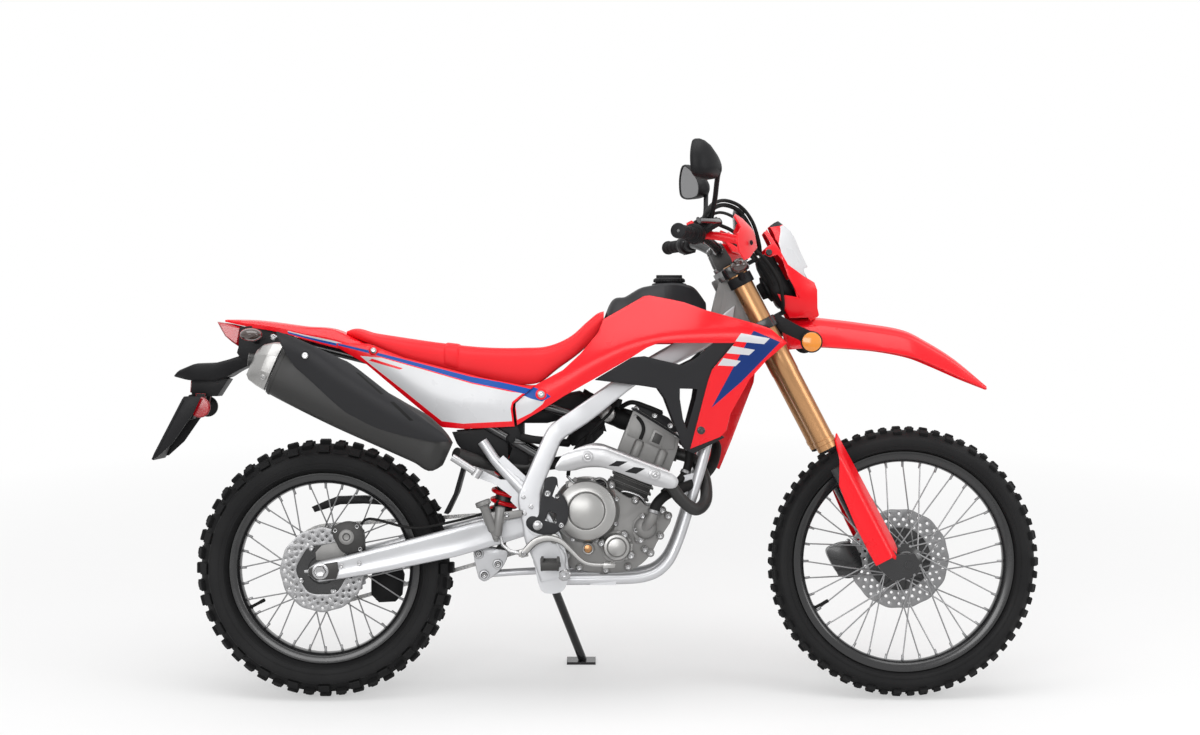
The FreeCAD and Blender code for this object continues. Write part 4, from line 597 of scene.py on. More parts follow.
latticeOutline = [(679, 798), (771, 853), (800, 856), (892, 834), (925, 850), (973, 893), (1025, 893), (970, 829),
    (964, 797), (940, 690), (925, 640), (985, 664), (998, 656), (924, 616), (913, 620), (895, 632), (881, 676),
    (853, 751), (835, 777), (800, 783), (736, 791)]
latticeWindow = [(888, 777), (931, 776), (927, 751), (906, 675), (896, 701), (888, 751)]
latticeFlank = ridge(shroudWidth, shroudCrest, shroudUp, shroudDown, 4.5, 6)
lattice = sheetMesh(latticeOutline, latticeFlank, 5, [], [latticeWindow], step=11)
panelPiece("latticePanels", [lattice, leftOf(lattice)], ["grey"], "grey_plastic", ["shroud_lattices"])

coverWidth = lineOf([(-20, 74), (0, 78), (120, 104), (280, 123), (420, 121), (560, 106)])
coverCrest = lineOf([(-20, 900), (120, 856), (300, 750), (420, 735), (560, 740)])
coverUp = lineOf([(-20, 0.1), (200, 0.12), (560, 0.08)])
coverDown = lineOf([(-20, 0.1), (200, 0.22), (420, 0.18), (560, 0.1)])
coverFlank = ridge(coverWidth, coverCrest, coverUp, coverDown, 0, 9)
coverOutline = [(30, 890), (47, 874), (112, 837), (205, 759), (300, 681), (352, 677), (480, 683), (475, 725),
    (477, 739), (531, 785), (515, 784), (499, 785), (400, 804), (300, 830), (205, 854), (118, 888)]
coverBlue = [(40, 889), (120, 871), (250, 838), (374, 806), (450, 792), (520, 776), (520, 760), (470, 772),
    (374, 792), (250, 828), (120, 864), (40, 884)]
coverWhiteArea = [(96, 858), (120, 838), (205, 772), (300, 696), (352, 690), (474, 696), (470, 728), (474, 744),
    (500, 765), (470, 769), (374, 789), (250, 825), (150, 853)]
coverDash = [(118, 846), (196, 824), (204, 827), (126, 851)]
coverRight = sheetMesh(coverOutline, coverFlank, 4, [(coverWhiteArea, 1), (coverBlue, 2), (coverDash, 0)], step=11)
panelPiece("sideCovers", [coverRight, leftOf(coverRight)], ["red", "white", "blue"], "white_plastic", ["side_covers"])
# Panel bolts sit on their flank, with a washer
panelBolts = Solid()
for flank, x, z, ring, washer, head in ((shroudFlank, 546, 763, 14, 0, 1), (shroudFlank, 941, 674, 10, 2, 2),
        (coverFlank, 130, 871, 12, 0, 1)):
    spot = flank(np.array([[x, z]], float))[0]
    panelBolts.boss(spot + [0, 2, 0], [(ring, 0), (ring, 4), (ring * 0.8, 5.4)], 24, washer)
    panelBolts.bolt(spot - [0, 3, 0], ring * 0.5, 4, head)
    panelBolts.mirror(2)
panelBolts.piece("panelBolts", ["red", "chrome", "blackPaint"], "steel")
print("panels")


def wholeRing(x, right):
    # A cross-section from its half as (y, z), from the top's middle to the underside's
    return np.array([(x, -y, z) for y, z in right] + [(x, y, z) for y, z in right[-2:0:-1]])


def crownRing(x, half, low, high, corner, crown, lowHalf):
    # Cross-section with a crowned top, rounded shoulders and straight sides
    right = [(0, high + crown), (half * 0.35, high + crown * 0.85), (half * 0.7, high + crown * 0.4),
        (half - corner, high)]
    right += [(half - corner * (1 - sin(a)), high - corner * (1 - cos(a)))
        for a in np.radians([25, 45, 65, 90])]
    right += [(half + (lowHalf - half) * 0.5, (low + high - corner) / 2), (lowHalf, low + 4), (lowHalf - 3, low),
        (lowHalf * 0.6, low), (0, low)]
    return wholeRing(x, right)


seatTop = lineOf([(57, 921), (66, 925), (130, 915), (201, 904), (300, 890), (400, 880), (503, 879), (554, 882),
    (582, 890), (622, 911), (661, 946), (690, 968), (702, 971)])
seatLow = lineOf([(57, 912), (118, 888), (205, 854), (300, 830), (400, 804), (500, 786), (540, 792), (582, 824),
    (646, 872), (682, 907), (702, 945)])
seatHalf = lineOf([(57, 50), (80, 66), (130, 86), (205, 94), (300, 93), (400, 90), (500, 88), (582, 91), (646, 91),
    (702, 80)])
seatRings = []
for x in np.linspace(58, 701, 110):
    high, low, half = seatTop(x), seatLow(x), seatHalf(x)
    crown = min(7, (high - low) * 0.2)
    corner = min(24, (high - low) * 0.42)
    seatRings.append(crownRing(x, half, low, high - crown, corner, crown, half * 0.97))
seat = Solid()
seat.loft(seatRings)
seatCover = seat.piece("seatCover", "seat", "seat_cover", ["seat"], sharp=50)
strap = Solid()
strapRings = []
for x, grow in zip(np.linspace(303, 341, 12), [0, 2.2, 3, 3.1, 3.1, 3.1, 3.1, 3.1, 3.1, 3, 2.2, 0]):
    high, low, half = seatTop(x), seatLow(x), seatHalf(x)
    strapRings.append(crownRing(x, half + grow, low + 6, high - 7 + grow, 24, 7, half * 0.97 + grow))
strap.loft(strapRings)
strap.piece("seatStrap", "seat", "seat_cover", sharp=50)

tankTop = lineOf([(700, 948), (714, 985), (757, 1008), (796, 1030), (814, 1034), (906, 1039), (930, 1029),
    (950, 1004), (958, 992)])
tankHalf = lineOf([(700, 82), (757, 98), (828, 112), (862, 98), (890, 76), (926, 54), (958, 42)])
tankRings = []
for x in np.linspace(700, 958, 60):
    high, half = tankTop(x), tankHalf(x)
    low = 900 + 40 * abs(x - 830) / 130
    flat = half * (0.55 if x < 920 else 0.5)
    right = [(0, high), (flat * 0.6, high - 0.5), (flat, high - 3), (flat + 8, high - 8),
        (half * 0.86, high - (high - low) * 0.35), (half, high - (high - low) * 0.62), (half * 0.98, low),
        (half * 0.5, low), (0, low)]
    tankRings.append(wholeRing(x, right))
tank = Solid()
tank.loft(tankRings)
capAt = np.array([866, 0, 1036])
tank.boss(capAt, [(44, 0), (43, 4), (36, 6), (34, 6), (34, 2)], 48, way=upward)
tank.piece("tankCover", "grey", "grey_plastic", ["fuel_tank"], sharp=28)
cap = Solid()
cap.lathe([866, 0, 1042.4], upward, [(32, 0), (38, 1), (38.5, 3), (38.5, 9), (37, 11), (34, 12), (0.01, 12.5)], 48)
for a in circle(24):
    cap.lathe([866 + 38 * cos(a), 38 * sin(a), 1044], upward, [(2.2, 0), (2.2, 7), (0.01, 8)], 8)
cap.prism([(836, -8), (896, -8), (899, 0), (896, 8), (836, 8), (833, 0)], 1054, 1062, 0, "xy")
cap.piece("fuelCap", "black", "grey_plastic", ["fuel_cap"], bevel=(0.8, 40), body="fuel_cap")
print("seat and tank")

tailTop = lineOf([(-250, 950), (-181, 949), (-46, 933), (38, 923), (70, 908), (117, 887)])
tailLow = lineOf([(-250, 944), (-200, 933), (-97, 914), (-41, 898), (47, 876), (117, 868)])
tailHalf = lineOf([(-250, 34), (-180, 58), (-60, 75), (48, 86), (117, 90)])
tailRings = []
for x in np.linspace(-249, 112, 50):
    high, low, half = tailTop(x), tailLow(x), tailHalf(x)
    mid = low + (high - low) * 0.45
    right = [(0, high), (half * 0.5, high - 1), (half * 0.8, high - 3), (half * 0.9, mid + (high - mid) * 0.6),
        (half, mid), (half * 0.997, low + (high - low) * 0.34), (half * 0.993, low + (high - low) * 0.24),
        (half * 0.989, low + (high - low) * 0.1), (half * 0.985, low), (half * 0.9, low), (half * 0.85, mid - 1),
        (0, mid)]
    tailRings.append(wholeRing(x, right))
tail = Solid()
tail.loft(tailRings)
tailVerts = np.concatenate(tail.verts)
for k, face in enumerate(tail.faces):
    x, y, z = tailVerts[face].mean(0)
    share = (z - tailLow(x)) / (tailTop(x) - tailLow(x) + 1e-6)
    if abs(y) > 40 and -90 < x < 100 and 0.08 < share < 0.35:
        tail.marks[k] = 1 if share > 0.24 else 2
tail.piece("tailCowl", ["red", "white", "blue"], "red_plastic", ["tail_cowl"], sharp=25)


def gridSheet(grid, wall):
    # Thick sheet through a grid of points; wall is laid inwards of its normals
    p = np.asarray(grid, float)
    n, m = p.shape[:2]
    normal = unit(np.cross(np.gradient(p, axis=0), np.gradient(p, axis=1)))
    verts = np.concatenate([p.reshape(-1, 3), (p - normal * wall).reshape(-1, 3)])
    at = np.arange(n * m).reshape(n, m)
    front = np.stack([at[:-1, :-1], at[1:, :-1], at[1:, 1:], at[:-1, 1:]], 2).reshape(-1, 4)
    rim = np.concatenate([at[:-1, 0], at[-1, :-1], at[:0:-1, -1], at[0, :0:-1]])
    ahead = np.roll(rim, -1)
    faces = np.concatenate([front, front[:, ::-1] + n * m, np.stack([rim, ahead, ahead + n * m, rim + n * m], 1)])
    return verts, faces.tolist(), [0] * len(faces)


fenderTop = curve([(78, -80), (124, -99), (167, -124), (250, -181), (331, -242), (372, -296), (415, -370),
    (456, -468)], 60)
fenderEdge = curve([(57, -150), (125, -178), (200, -222), (262, -262), (322, -310), (362, -356), (410, -417),
    (454, -470)], 60)
fenderHalf = np.interp(np.linspace(0, 1, 60), np.linspace(0, 1, 8), [58, 66, 70, 70, 66, 56, 40, 9])
k = np.linspace(-1, 1, 33)
# Across the blade the edge falls away steeply, with a raised middle line and a groove on each side
fall = np.abs(k) ** 3.2 * 0.9 + 0.1 * k * k
lift = 3 * np.exp(-((k / 0.13) ** 2)) - 2.5 * np.exp(-(((np.abs(k) - 0.52) / 0.09) ** 2))
across = fenderTop[:, None] + (fenderEdge - fenderTop)[:, None] * fall[:, None] + np.outer(lift, [0.5, 0.85])
fenderGrid = np.stack([across[..., 0], np.outer(fenderHalf, k), across[..., 1]], 2)
panelPiece("frontFender", [gridSheet(fenderGrid, -3.5)], ["red"], "red_plastic", ["front_fender"], steer)

forkSpread = 107
guardOutline = [(64, -387), (66.5, -510), (67.5, -606), (67.4, -695), (65, -711), (47, -728), (41, -720), (-4, -720),
    (-5, -680), (-4, -614), (2, -538), (6, -502), (37, -445), (53, -398)]


def guardFlank(p):
    # Flat over the leg, falling away ahead of it and a little behind
    u, w = p[:, 0], p[:, 1]
    y = forkSpread + 31 - 2.3 * soft(u - 46, 3.5) - 0.25 * soft(8 - u, 4)
    return columns(u, -y, w)


guard = sheetMesh(guardOutline, guardFlank, 3.5, step=6)
panelPiece("forkGuards", [guard, leftOf(guard)], ["red"], "red_plastic", ["fork_guards"], steer)

cowlLine = lineOf([(-113, 157), (-62, 183), (-15, 196), (50, 200), (115, 201), (149, 187)])
cowlHalf = lineOf([(-113, 46), (-75, 66), (-40, 78), (0, 84), (60, 80), (115, 62), (149, 40)])
cowlSweep = lineOf([(-113, 20), (-62, 50), (-15, 58), (50, 56), (115, 46), (149, 30)])


def cowlFace(p):
    # Forward reach = middle line - sweep * (y / half width) ** 2.4
    y, w = p[:, 0], p[:, 1]
    return columns(cowlLine(w) - cowlSweep(w) * np.abs(y / cowlHalf(w)) ** 2.4, y, w)


cowlRight = [(30, 149), (40, 147), (63, 113), (80, 60), (84, 0), (78, -40), (66, -75), (45, -111), (20, -113)]
cowlOutline = cowlRight + [(-y, w) for y, w in cowlRight[::-1]]
lampHole = [(-44, -50), (44, -50), (56, -20), (48, 12), (-48, 12), (-56, -20)]
cowlWhiteHalf = [(31, 134), (56, 112), (74, 90), (90, 60), (90, 38), (70, 14), (54, -10), (40, -28)]
cowlWhite = cowlWhiteHalf + [(-y, w) for y, w in cowlWhiteHalf[::-1]]
cowlTop = [(-38, 152), (38, 152), (44, 144), (30, 136), (-30, 136), (-44, 144)]
cowl = sheetMesh(cowlOutline, cowlFace, 3, [(cowlWhite, 1), (cowlTop, 2)], [lampHole], step=9)
wingOutline = [(188, -50), (169, -90), (165, -108), (158, -111), (94, -80), (94, -13), (140, -47), (137, 13),
    (144, 54), (140, 74), (120, 78), (112, 89), (120, 101), (139, 106), (138, 138), (148, 143), (150, 90), (151, 40),
    (172, -2), (190, -30)]


def wingFlank(p):
    # The cowl's half width, falling away ahead and behind
    u, w = p[:, 0], p[:, 1]
    y = cowlHalf(w) + 1 - 0.35 * soft(u - 150, 8) - 0.12 * soft(130 - u, 8)
    return columns(u, -y, w)


wing = sheetMesh(wingOutline, wingFlank, 3.2, step=8)
panelPiece("headlightCowl", [cowl, wing, leftOf(wing)], ["red", "white", "grey"], "white_plastic", ["headlight_cowl"],
    steer)
cowlBolts = Solid(steer)
cowlBolts.boss((123, -78, 89), [(8, 0), (8, 4), (6.5, 5.5), (3, 5.5), (2.6, 3)], 24).mirror()
cowlBolts.piece("cowlBolts", "blackPaint", "black_plastic")
print("front plastics")

# Engine, seen from its right: cases, clutch cover, filter cover, pump, barrel and head
caseLine = [(589, 411), (599, 382), (604, 352), (624, 330), (682, 320), (751, 321), (790, 338), (817, 365),
    (834, 397), (854, 426), (867, 450), (858, 470), (829, 482), (806, 485), (790, 499), (761, 506), (735, 522),
    (709, 541), (663, 553), (624, 546), (604, 529), (590, 500)]
engine = Solid()
caseMid = np.mean(caseLine, 0)
engine.prism(curve(caseLine, 90, True), -62, -90)
engine.prism(curve(scaled(caseLine, 1.012, caseMid), 90, True), -72, -76, 1)
engine.prism(curve(scaled(caseLine, 0.965, caseMid), 70, True), -62, 62, 1)
engine.prism(curve(scaled(caseLine[3:18], 0.98, caseMid), 70, True), 62, 84)
engine.lathe([658, -86, 475], toRight, [(84, 0), (83, 6), (78, 10), (76, 14), (75.5, 34), (72, 41), (60, 46),
    (50, 48.5), (47, 48.5), (46, 46.5), (45, 46.5), (44, 50), (42, 51.5), (0.01, 52)], 96, 2)
engine.lathe([733, -86, 384], toRight, [(41, 0), (40, 10), (35, 14), (34, 30), (31, 35), (25, 36.5), (23.5, 34.5),
    (22.5, 34.5), (21.5, 38), (0.01, 38.5)], 64, 2)
for x, z in ((751, 414), (695, 394), (768, 363)):
    engine.boss([x, -86, z], [(11, 0), (10, 24), (8, 26)], 24)
    engine.bolt([x, -112, z], 6.5, 6, 3)
for x, z in ((861, 460), (779, 499), (841, 411), (803, 377), (817, 368), (761, 334), (706, 326), (640, 332),
        (609, 362), (786, 402), (720, 536), (672, 546), (846, 474)):
    engine.boss([x, -80, z], [(10.5, 0), (10, 13), (8.5, 15)], 20)
    engine.bolt([x, -95, z], 6, 6, 3)
for a in radians(20) + circle(8):
    engine.bolt([658 + 80 * cos(a), -94, 475 + 80 * sin(a)], 5.2, 6, 3)
engine.boss([662, -86, 379], [(15, 0), (15, 10), (13, 12), (11, 12), (10.5, 9)], 32, 2)
engine.lathe([662, -95, 379], toRight, [(10, 0), (10, 1.6), (0.01, 2.4)], 32, 5)
engine.lathe([690, -86, 534], toRight, [(23, 0), (22, 20), (20, 24), (18, 24), (17, 21), (0.01, 21)], 40, 2)
engine.boss([690, -107, 534], [(17, 0), (17, 7), (15, 9)], 24, 4)
engine.prism([(676, 530), (704, 540), (702, 546), (674, 536)], -116, -123, 4)
engine.prism([(606, 545), (632, 556), (640, 528), (630, 506), (610, 512)], -88, -112)
engine.boss([619, -112, 538], [(9, 0), (9, 12), (7, 14)], 20, 2)
engine.tube([(610, -108, 560), (622, -118, 548), (640, -120, 532)], 3.2, 10, 3)
engine.lathe([803, -86, 432], toRight, [(31, 0), (30, 12), (27, 20), (20, 26), (12, 30), (0.01, 31)], 40)
engine.prism([(775, 446), (792, 466), (806, 466), (812, 452), (800, 396), (786, 394), (772, 420)], -88, -104)
engine.tube(curve([(803, -104, 432), (812, -116, 444), (820, -121, 458), (824, -122, 472)], 14),
    [15, 14.5, 14, *[13.5] * 11], 20)
for x, z in ((781, 426), (797, 461), (792, 401)):
    engine.bolt([x, -104, z], 6, 6, 3)

barrelAt, barrelUp, barrelAlong = np.array([770, 540]), [0.375, 0.927], [0.927, -0.375]


def cyl(places):
    # Side view of places given as (along, up) the barrel: its foot + across * along + axis * up
    return barrelAt + np.array(places) @ [barrelAlong, barrelUp]


def cylAt(b, a, y):
    # One such place as a point in space
    return np.insert(cyl((b, a)), 1, y)


barrelWay = [barrelUp[0], 0, barrelUp[1]]
engine.prism(cyl([(-47, -60), (-47, 52), (50, 52), (50, -60)]), -56, 56, 1)
for a in (-28, -12, 4, 20, 36):
    engine.prism(cyl([(-53, a), (-53, a + 5), (56, a + 5), (56, a)]), -62, 62, 1)
engine.prism(cyl([(-62, 56), (-64, 168), (-58, 172), (60, 152), (70, 146), (75, 116), (77, 60), (50, 50), (-50, 50)]),
    -64, 64)
engine.prism(cyl([(-56, 108), (-57, 162), (-20, 160), (58, 146), (66, 118), (40, 106)]), -69, -60)
engine.prism(cyl([(2, 110), (2, 147), (33, 144), (33, 110)]), -73, -60)
engine.prism(cyl([(7, 115), (7, 141), (28, 139), (28, 115)]), -74.5, -60, 1)
for b in (-20, 44):
    engine.lathe(cylAt(b, 66, -64), barrelWay, [(12, 0), (12.5, 2), (12.5, 36), (9, 41), (0.01, 42)], 24)
    engine.lathe(cylAt(b - 7, 66, -70), barrelWay, [(3, 0), (3, 36), (0.01, 38)], 10)
    engine.lathe(cylAt(b + 7, 66, -70), barrelWay, [(3, 0), (3, 36), (0.01, 38)], 10)
engine.prism(cyl([(-68, 170), (-68, 175), (-60, 178), (62, 156), (75, 150), (74, 145), (60, 150), (-58, 170)]), -68,
    68, 4)
engine.prism(cyl([(-64, 174), (-60, 188), (-54, 192), (26, 186), (60, 168), (70, 152)]), -60, 60, 4)
engine.prism(cyl([(-30, 186), (-28, 196), (8, 194), (10, 184)]), -30, 30, 4)
for b, a in ((-58, 186), (-10, 187), (36, 178), (58, 163)):
    engine.bolt(cylAt(b, a - 9, -60), 6, 5, 3)
engine.tube(curve([(742, -70, 498), (748, -74, 520), (790, -78, 508), (806, -76, 486), (808, -74, 470)], 30),
    3.2, 10, 3)
engine.lathe([712, 80, 432], toLeft, [(80, 0), (79, 8), (74, 14), (72, 34), (66, 41), (50, 44), (46, 42), (44, 42),
    (42, 46), (0.01, 47)], 80, 2)
for a in radians(10) + circle(9):
    engine.bolt([712 + 78 * cos(a), 84, 432 + 78 * sin(a)], 6, 9, 3, way=toLeft)
engine.piece("engineBlock", ["cast", "castDark", "castBright", "chrome", "black", "gold"], "engine_metal",
    ["engine_cases", "engine_covers", "engine_cylinder"], bevel=(1.6, 50))
print("engine")

# Exhaust: dark header, silver heat shield, can with its cap and cover
headerRoute = [(874, -10, 616), (925, -20, 598), (952, -40, 555), (955, -78, 500), (928, -116, 478), (890, -134, 506),
    (858, -141, 546), (800, -143, 580), (690, -142, 610), (640, -134, 606), (598, -86, 594), (540, -76, 586),
    (484, -76, 582), (420, -86, 588), (372, -128, 604), (338, -160, 618)]
exhaust = Solid()
exhaust.tube(curve(headerRoute, 120), 15.5, 24)
exhaust.boss([866, -10, 617], [(26, 0), (26, 8), (22, 10), (20, 22)], 28, way=[1, -0.1, -0.24])
exhaust.piece("headerPipe", "blackPipe", "dark_exhaust", ["exhaust_pipe"])

shieldLine = [(582, 578), (592, 604), (606, 618), (658, 640), (690, 643), (720, 634), (790, 606), (847, 584),
    (872, 566), (884, 551), (875, 533), (842, 534), (800, 546), (760, 562), (716, 578), (690, 583), (655, 582),
    (625, 575)]
shieldSpine = np.array([(560, 588), (600, 596), (640, 607), (670, 612), (700, 609), (760, 586), (820, 564),
    (890, 540)])


def shieldFace(p):
    # Bowed off the pipe with the square of the distance to its spine, and a groove along the edge
    gap = lineGap(shieldSpine, p)[0]
    y = -164 + 0.028 * soft(gap - 8, 3) ** 2 - 2.5 * np.exp(-(((gap - 22) / 5) ** 2))
    return columns(p[:, 0], y, p[:, 1])


slots = [[(712, 588), (733, 600), (760, 598), (737, 586)], [(752, 573), (775, 585), (803, 581), (780, 568)]]
shieldMesh = sheetMesh(curve(shieldLine, 60, True), shieldFace, 3, [(slot, 1) for slot in slots], step=6)
shieldBolts = Solid()
for x, z in ((661, 610), (826, 566)):
    shieldBolts.boss([x, -160, z], [(15, 0), (14, 6), (11, 7), (11, 8.4)], 28)
    shieldBolts.bolt([x, -168, z], 7, 5, 1)
shieldBolts.piece("shieldBolts", ["alloy", "chrome"], "alloy")
panelPiece("heatShield", [shieldMesh], ["alloy", "black"], "alloy", [])

canTop = lineOf([(-110, 892), (-60, 876), (60, 816), (190, 746), (260, 704), (300, 666), (330, 634)])
canLow = lineOf([(-110, 770), (-60, 744), (60, 684), (190, 625), (260, 593), (300, 573), (330, 600)])
canAside = 172


def canRing(x, grow=0):
    # Rounded cross-section across the can's own line, leaning like the can
    high, low = canTop(x), canLow(x)
    mid, tall = (high + low) / 2, (high - low) / 2 + grow
    wide = min(50, tall * 0.82) + grow
    c, s = np.cos(circle(40)), np.sin(circle(40))
    h = tall * np.sign(s) * np.abs(s) ** 0.72
    return columns(x + h * 0.42, -canAside + wide * np.sign(c) * np.abs(c) ** 0.72, mid + h * 0.95)


can = Solid()
can.loft([canRing(x) for x in np.linspace(-100, 318, 50)])
can.loft([canRing(x, 1.6) for x in (-96, -92)])
can.piece("mufflerCan", "blackPipe", "dark_exhaust", ["muffler"], sharp=40)
capFaces = [(-160, 20, 34, 842), (-150, 34, 46, 842), (-128, 44, 56, 838), (-104, 49, 62, 831)]
endCap = Solid()
capRings = []
for x, wide, tall, z in capFaces:
    pts = [(0, 1), (0.62, 0.92), (1, 0.42), (0.94, -0.3), (0.7, -0.92), (0, -1), (-0.7, -0.92), (-0.94, -0.3),
        (-1, 0.42), (-0.62, 0.92)]
    capRings.append(np.array([(x + tall * v * 0.42, -canAside - wide * h, z + tall * v * 0.95) for h, v in pts]))
endCap.loft(capRings)
endCap.bolt([-128, -213, 805], 6.5, 5, 1, way=[-0.1, -1, -0.2])
outletWay = np.array([-1, -0.05, 0.12])
endCap.boss(np.array([-150, -canAside, 846]), [(17, 0), (17, 20), (14.5, 20), (14, 2)], 32, 2, way=outletWay)
endCap.piece("mufflerCap", ["castBright", "chrome", "blackPipe"], "alloy", bevel=(2, 12), sharp=20)

coverLine = [(-93, 915), (-80, 913), (-39, 898), (30, 866), (61, 851), (94, 833), (200, 751), (300, 677), (324, 652),
    (312, 649), (275, 651), (163, 677), (100, 706), (61, 730), (-20, 805), (-51, 833), (-74, 870), (-86, 894)]
coverSpine = np.array([(-90, 900), (-20, 866), (60, 806), (160, 742), (240, 694), (330, 650)])


def coverFace(p):
    # Slopes away from the spine, more above than below, and turns in at both ends
    gap, run = lineGap(coverSpine, p)
    above = p[:, 1] > np.interp(p[:, 0], *coverSpine.T)
    y = -240 + np.where(above, 0.62, 0.34) * soft(gap - 12, 4) + 5 * soft(run - 3.6, 0.15) + 4 * soft(0.35 - run, 0.1)
    return columns(p[:, 0], y, p[:, 1])


coverSlots = [[(98, 818), (106, 816), (168, 764), (160, 764)], [(182, 746), (192, 746), (240, 700), (230, 700)]]
coverMesh = sheetMesh(curve(coverLine, 70, True), coverFace, 3, [(slot, 1) for slot in coverSlots], step=8)
panelPiece("mufflerCover", [coverMesh], ["grey", "rubber"], "grey_plastic", ["exhaust_shields"])
coverBolt = Solid()
coverBolt.boss([-23, -236, 858], [(11, 0), (10, 5), (8, 6)], 24, 1)
coverBolt.bolt([-23, -241, 858], 6.5, 5)
coverBolt.piece("coverBolt", ["chrome", "black"], "steel")
print("exhaust")

# Frame: cast spars from the steering head down to the pivot, foot plates and lower cradle
sparTop = [(1028, 985), (960, 934), (880, 892), (800, 846), (722, 793), (640, 736), (580, 694), (560, 674),
    (540, 632), (505, 552), (490, 517), (490, 488), (500, 440), (507, 400), (528, 350), (545, 300)]
sparLow = [(1020, 925), (960, 880), (900, 848), (840, 818), (777, 783), (668, 697), (603, 654), (588, 628),
    (576, 598), (558, 556), (547, 524), (545, 500), (548, 470), (566, 430), (596, 380), (612, 318)]
sparSide = [46, 58, 72, 84, 96, 118, 126, 127, 127, 127, 127, 127, 127, 127, 127, 127]
count = 90
upper, lower = curve(sparTop, count), curve(sparLow, count)
sideY = np.interp(np.linspace(0, 1, count), np.linspace(0, 1, len(sparSide)), sparSide)


def sparRing(a, b, y, thick=14, corner=7):
    # Rounded oblong whose long way runs from a to b
    half = np.linalg.norm(a - b) / 2
    mid, way = (a + b) / 2, (a - b) / max(np.linalg.norm(a - b), 1e-6)
    ring = []
    for sx, sy, start in ((1, 1, 0), (-1, 1, 90), (-1, -1, 180), (1, -1, 270)):
        for t in np.radians(np.linspace(start, start + 90, 6)):
            h = sx * (half - corner) + corner * cos(t)
            w = sy * (thick - corner) + corner * sin(t)
            ring.append((mid[0] + way[0] * h, -y - w, mid[1] + way[1] * h))
    return np.array(ring)


spars = Solid()
spars.loft([sparRing(a, b, y) for a, b, y in zip(upper, lower, sideY)])
spars.mirror()
spars.prism(curve([(505, 430), (520, 470), (560, 470), (580, 440), (600, 400), (614, 330), (606, 286), (585, 272),
    (552, 274), (538, 300), (528, 350), (508, 395)], 50, True), -131, -117).mirror()
spars.boss([569, -117, 355], [(43, 0), (41, 6), (39, 20), (36, 23), (28, 23), (26, 18)], 48).mirror()
spars.boss([538, -124, 440], [(30, 0), (29, 14), (25, 18), (18, 18), (17, 15)], 40).mirror()
spars.tube([(400, -108, 646), (430, -112, 602), (470, -118, 560), (508, -124, 522)], [13, 13, 15, 18], 20).mirror()
spars.prism([(508, 560), (497, 530), (440, 600), (452, 612)], -128, -116).mirror()
spars.prism([(500, 470), (470, 500), (486, 545), (505, 520)], -128, -112).mirror()
for x, z in ((506, 470), (503, 510), (522, 486)):
    spars.bolt([x, -138, z], 6, 5, 1).mirror()
spars.bolt([603, -131, 318], 13, 12, 1).mirror()
spars.bolt([538, -139, 440], 12, 10, 1, hollow=False).mirror()
headCast = [(965, 936), (990, 1042), (1012, 1050), (1034, 1040), (1062, 985), (1085, 925), (1060, 905), (1000, 915)]
spars.prism(headCast, -36, 36, 2)
spars.prism([(988, 945), (1004, 1026), (1024, 1022), (1050, 968), (1060, 930), (1020, 925)], -42, -30, 2).mirror()
spars.prism([(1004, 956), (1012, 1000), (1030, 1000), (1046, 962), (1036, 948)], -46, -30, 2).mirror()
headWay = rake @ upward
spars.lathe(headAt + headWay * -76, headWay, [(33, 0), (35, 4), (35, 26), (29, 32), (29, 134), (35, 140), (35, 162),
    (33, 166), (24, 166), (24, 0), (33, 0)], 48, 2)
for i in (33, 46):
    proud = (upper - lower) * 0.012
    spars.loft([sparRing(upper[j] + proud[j], lower[j] - proud[j], sideY[j], 14.8) for j in (i, i + 1)]).mirror()
spars.piece("castSpars", ["silver", "chrome", "cast"], "frame_silver", ["frame_spars"], sharp=42)
cradle = Solid()
cradleRoute = [(1008, -26, 913), (982, -50, 776), (958, -72, 640), (925, -76, 520), (884, -80, 392), (850, -86, 334),
    (798, -90, 308), (700, -95, 303), (583, -98, 302)]
cradle.tube(curve(cradleRoute, 60), 13, 22).mirror()
cradle.tube([(925, -76, 520), (925, 76, 520)], 10, 16)
cradle.tube([(1008, -34, 917.6), (1008, 34, 917.6)], 14, 16)
cradle.tube([(700, -95, 300), (700, 95, 300)], 9, 14)
cradle.slab((668, 290), (732, 300), -106, -84).mirror()
cradle.prism([(900, 560), (940, 570), (926, 520), (890, 500)], -74, -66).mirror()
cradle.piece("cradleTubes", "silver", "frame_silver", ["frame_cradle"], sharp=42)
print("frame")

# Grips, switches, levers and cables, in the steering frame
controlsKnobs = {"gripRadius": 15.4, "ribHeight": 0.9, "ribPitch": 5.2, "cableRadius": 4.6, "leverRadius": 6.4}
gripIn, gripOut = np.array([-38, -285, 213]), np.array([-71, -405, 230])
gripWay = unit(gripOut - gripIn)
perchAt = gripIn - gripWay * 58
controls = Solid(steer)
along = np.linspace(6, 117, 90)
ribs = controlsKnobs["gripRadius"] + controlsKnobs["ribHeight"] * np.clip(
    np.sin(along * 2 * pi / controlsKnobs["ribPitch"]) * 2, -1, 1)
gripShape = [(12.2, 2), (21, 2), (21.5, 4), (19, 6)] + list(zip(ribs, along)) + [(17.5, 118), (18.5, 121),
    (18.5, 123.5), (14, 125), (4, 125), (3, 122), (0.01, 122)]
switchShape = [(12.2, -56), (17, -55), (19, -52), (19, -44), (23.5, -42), (25, -39), (25, -30), (23.5, -28.5),
    (25, -27), (25, -14), (23, -11), (20, -10), (20, -4), (22.5, -2), (22.5, 1), (12.2, 1.5)]
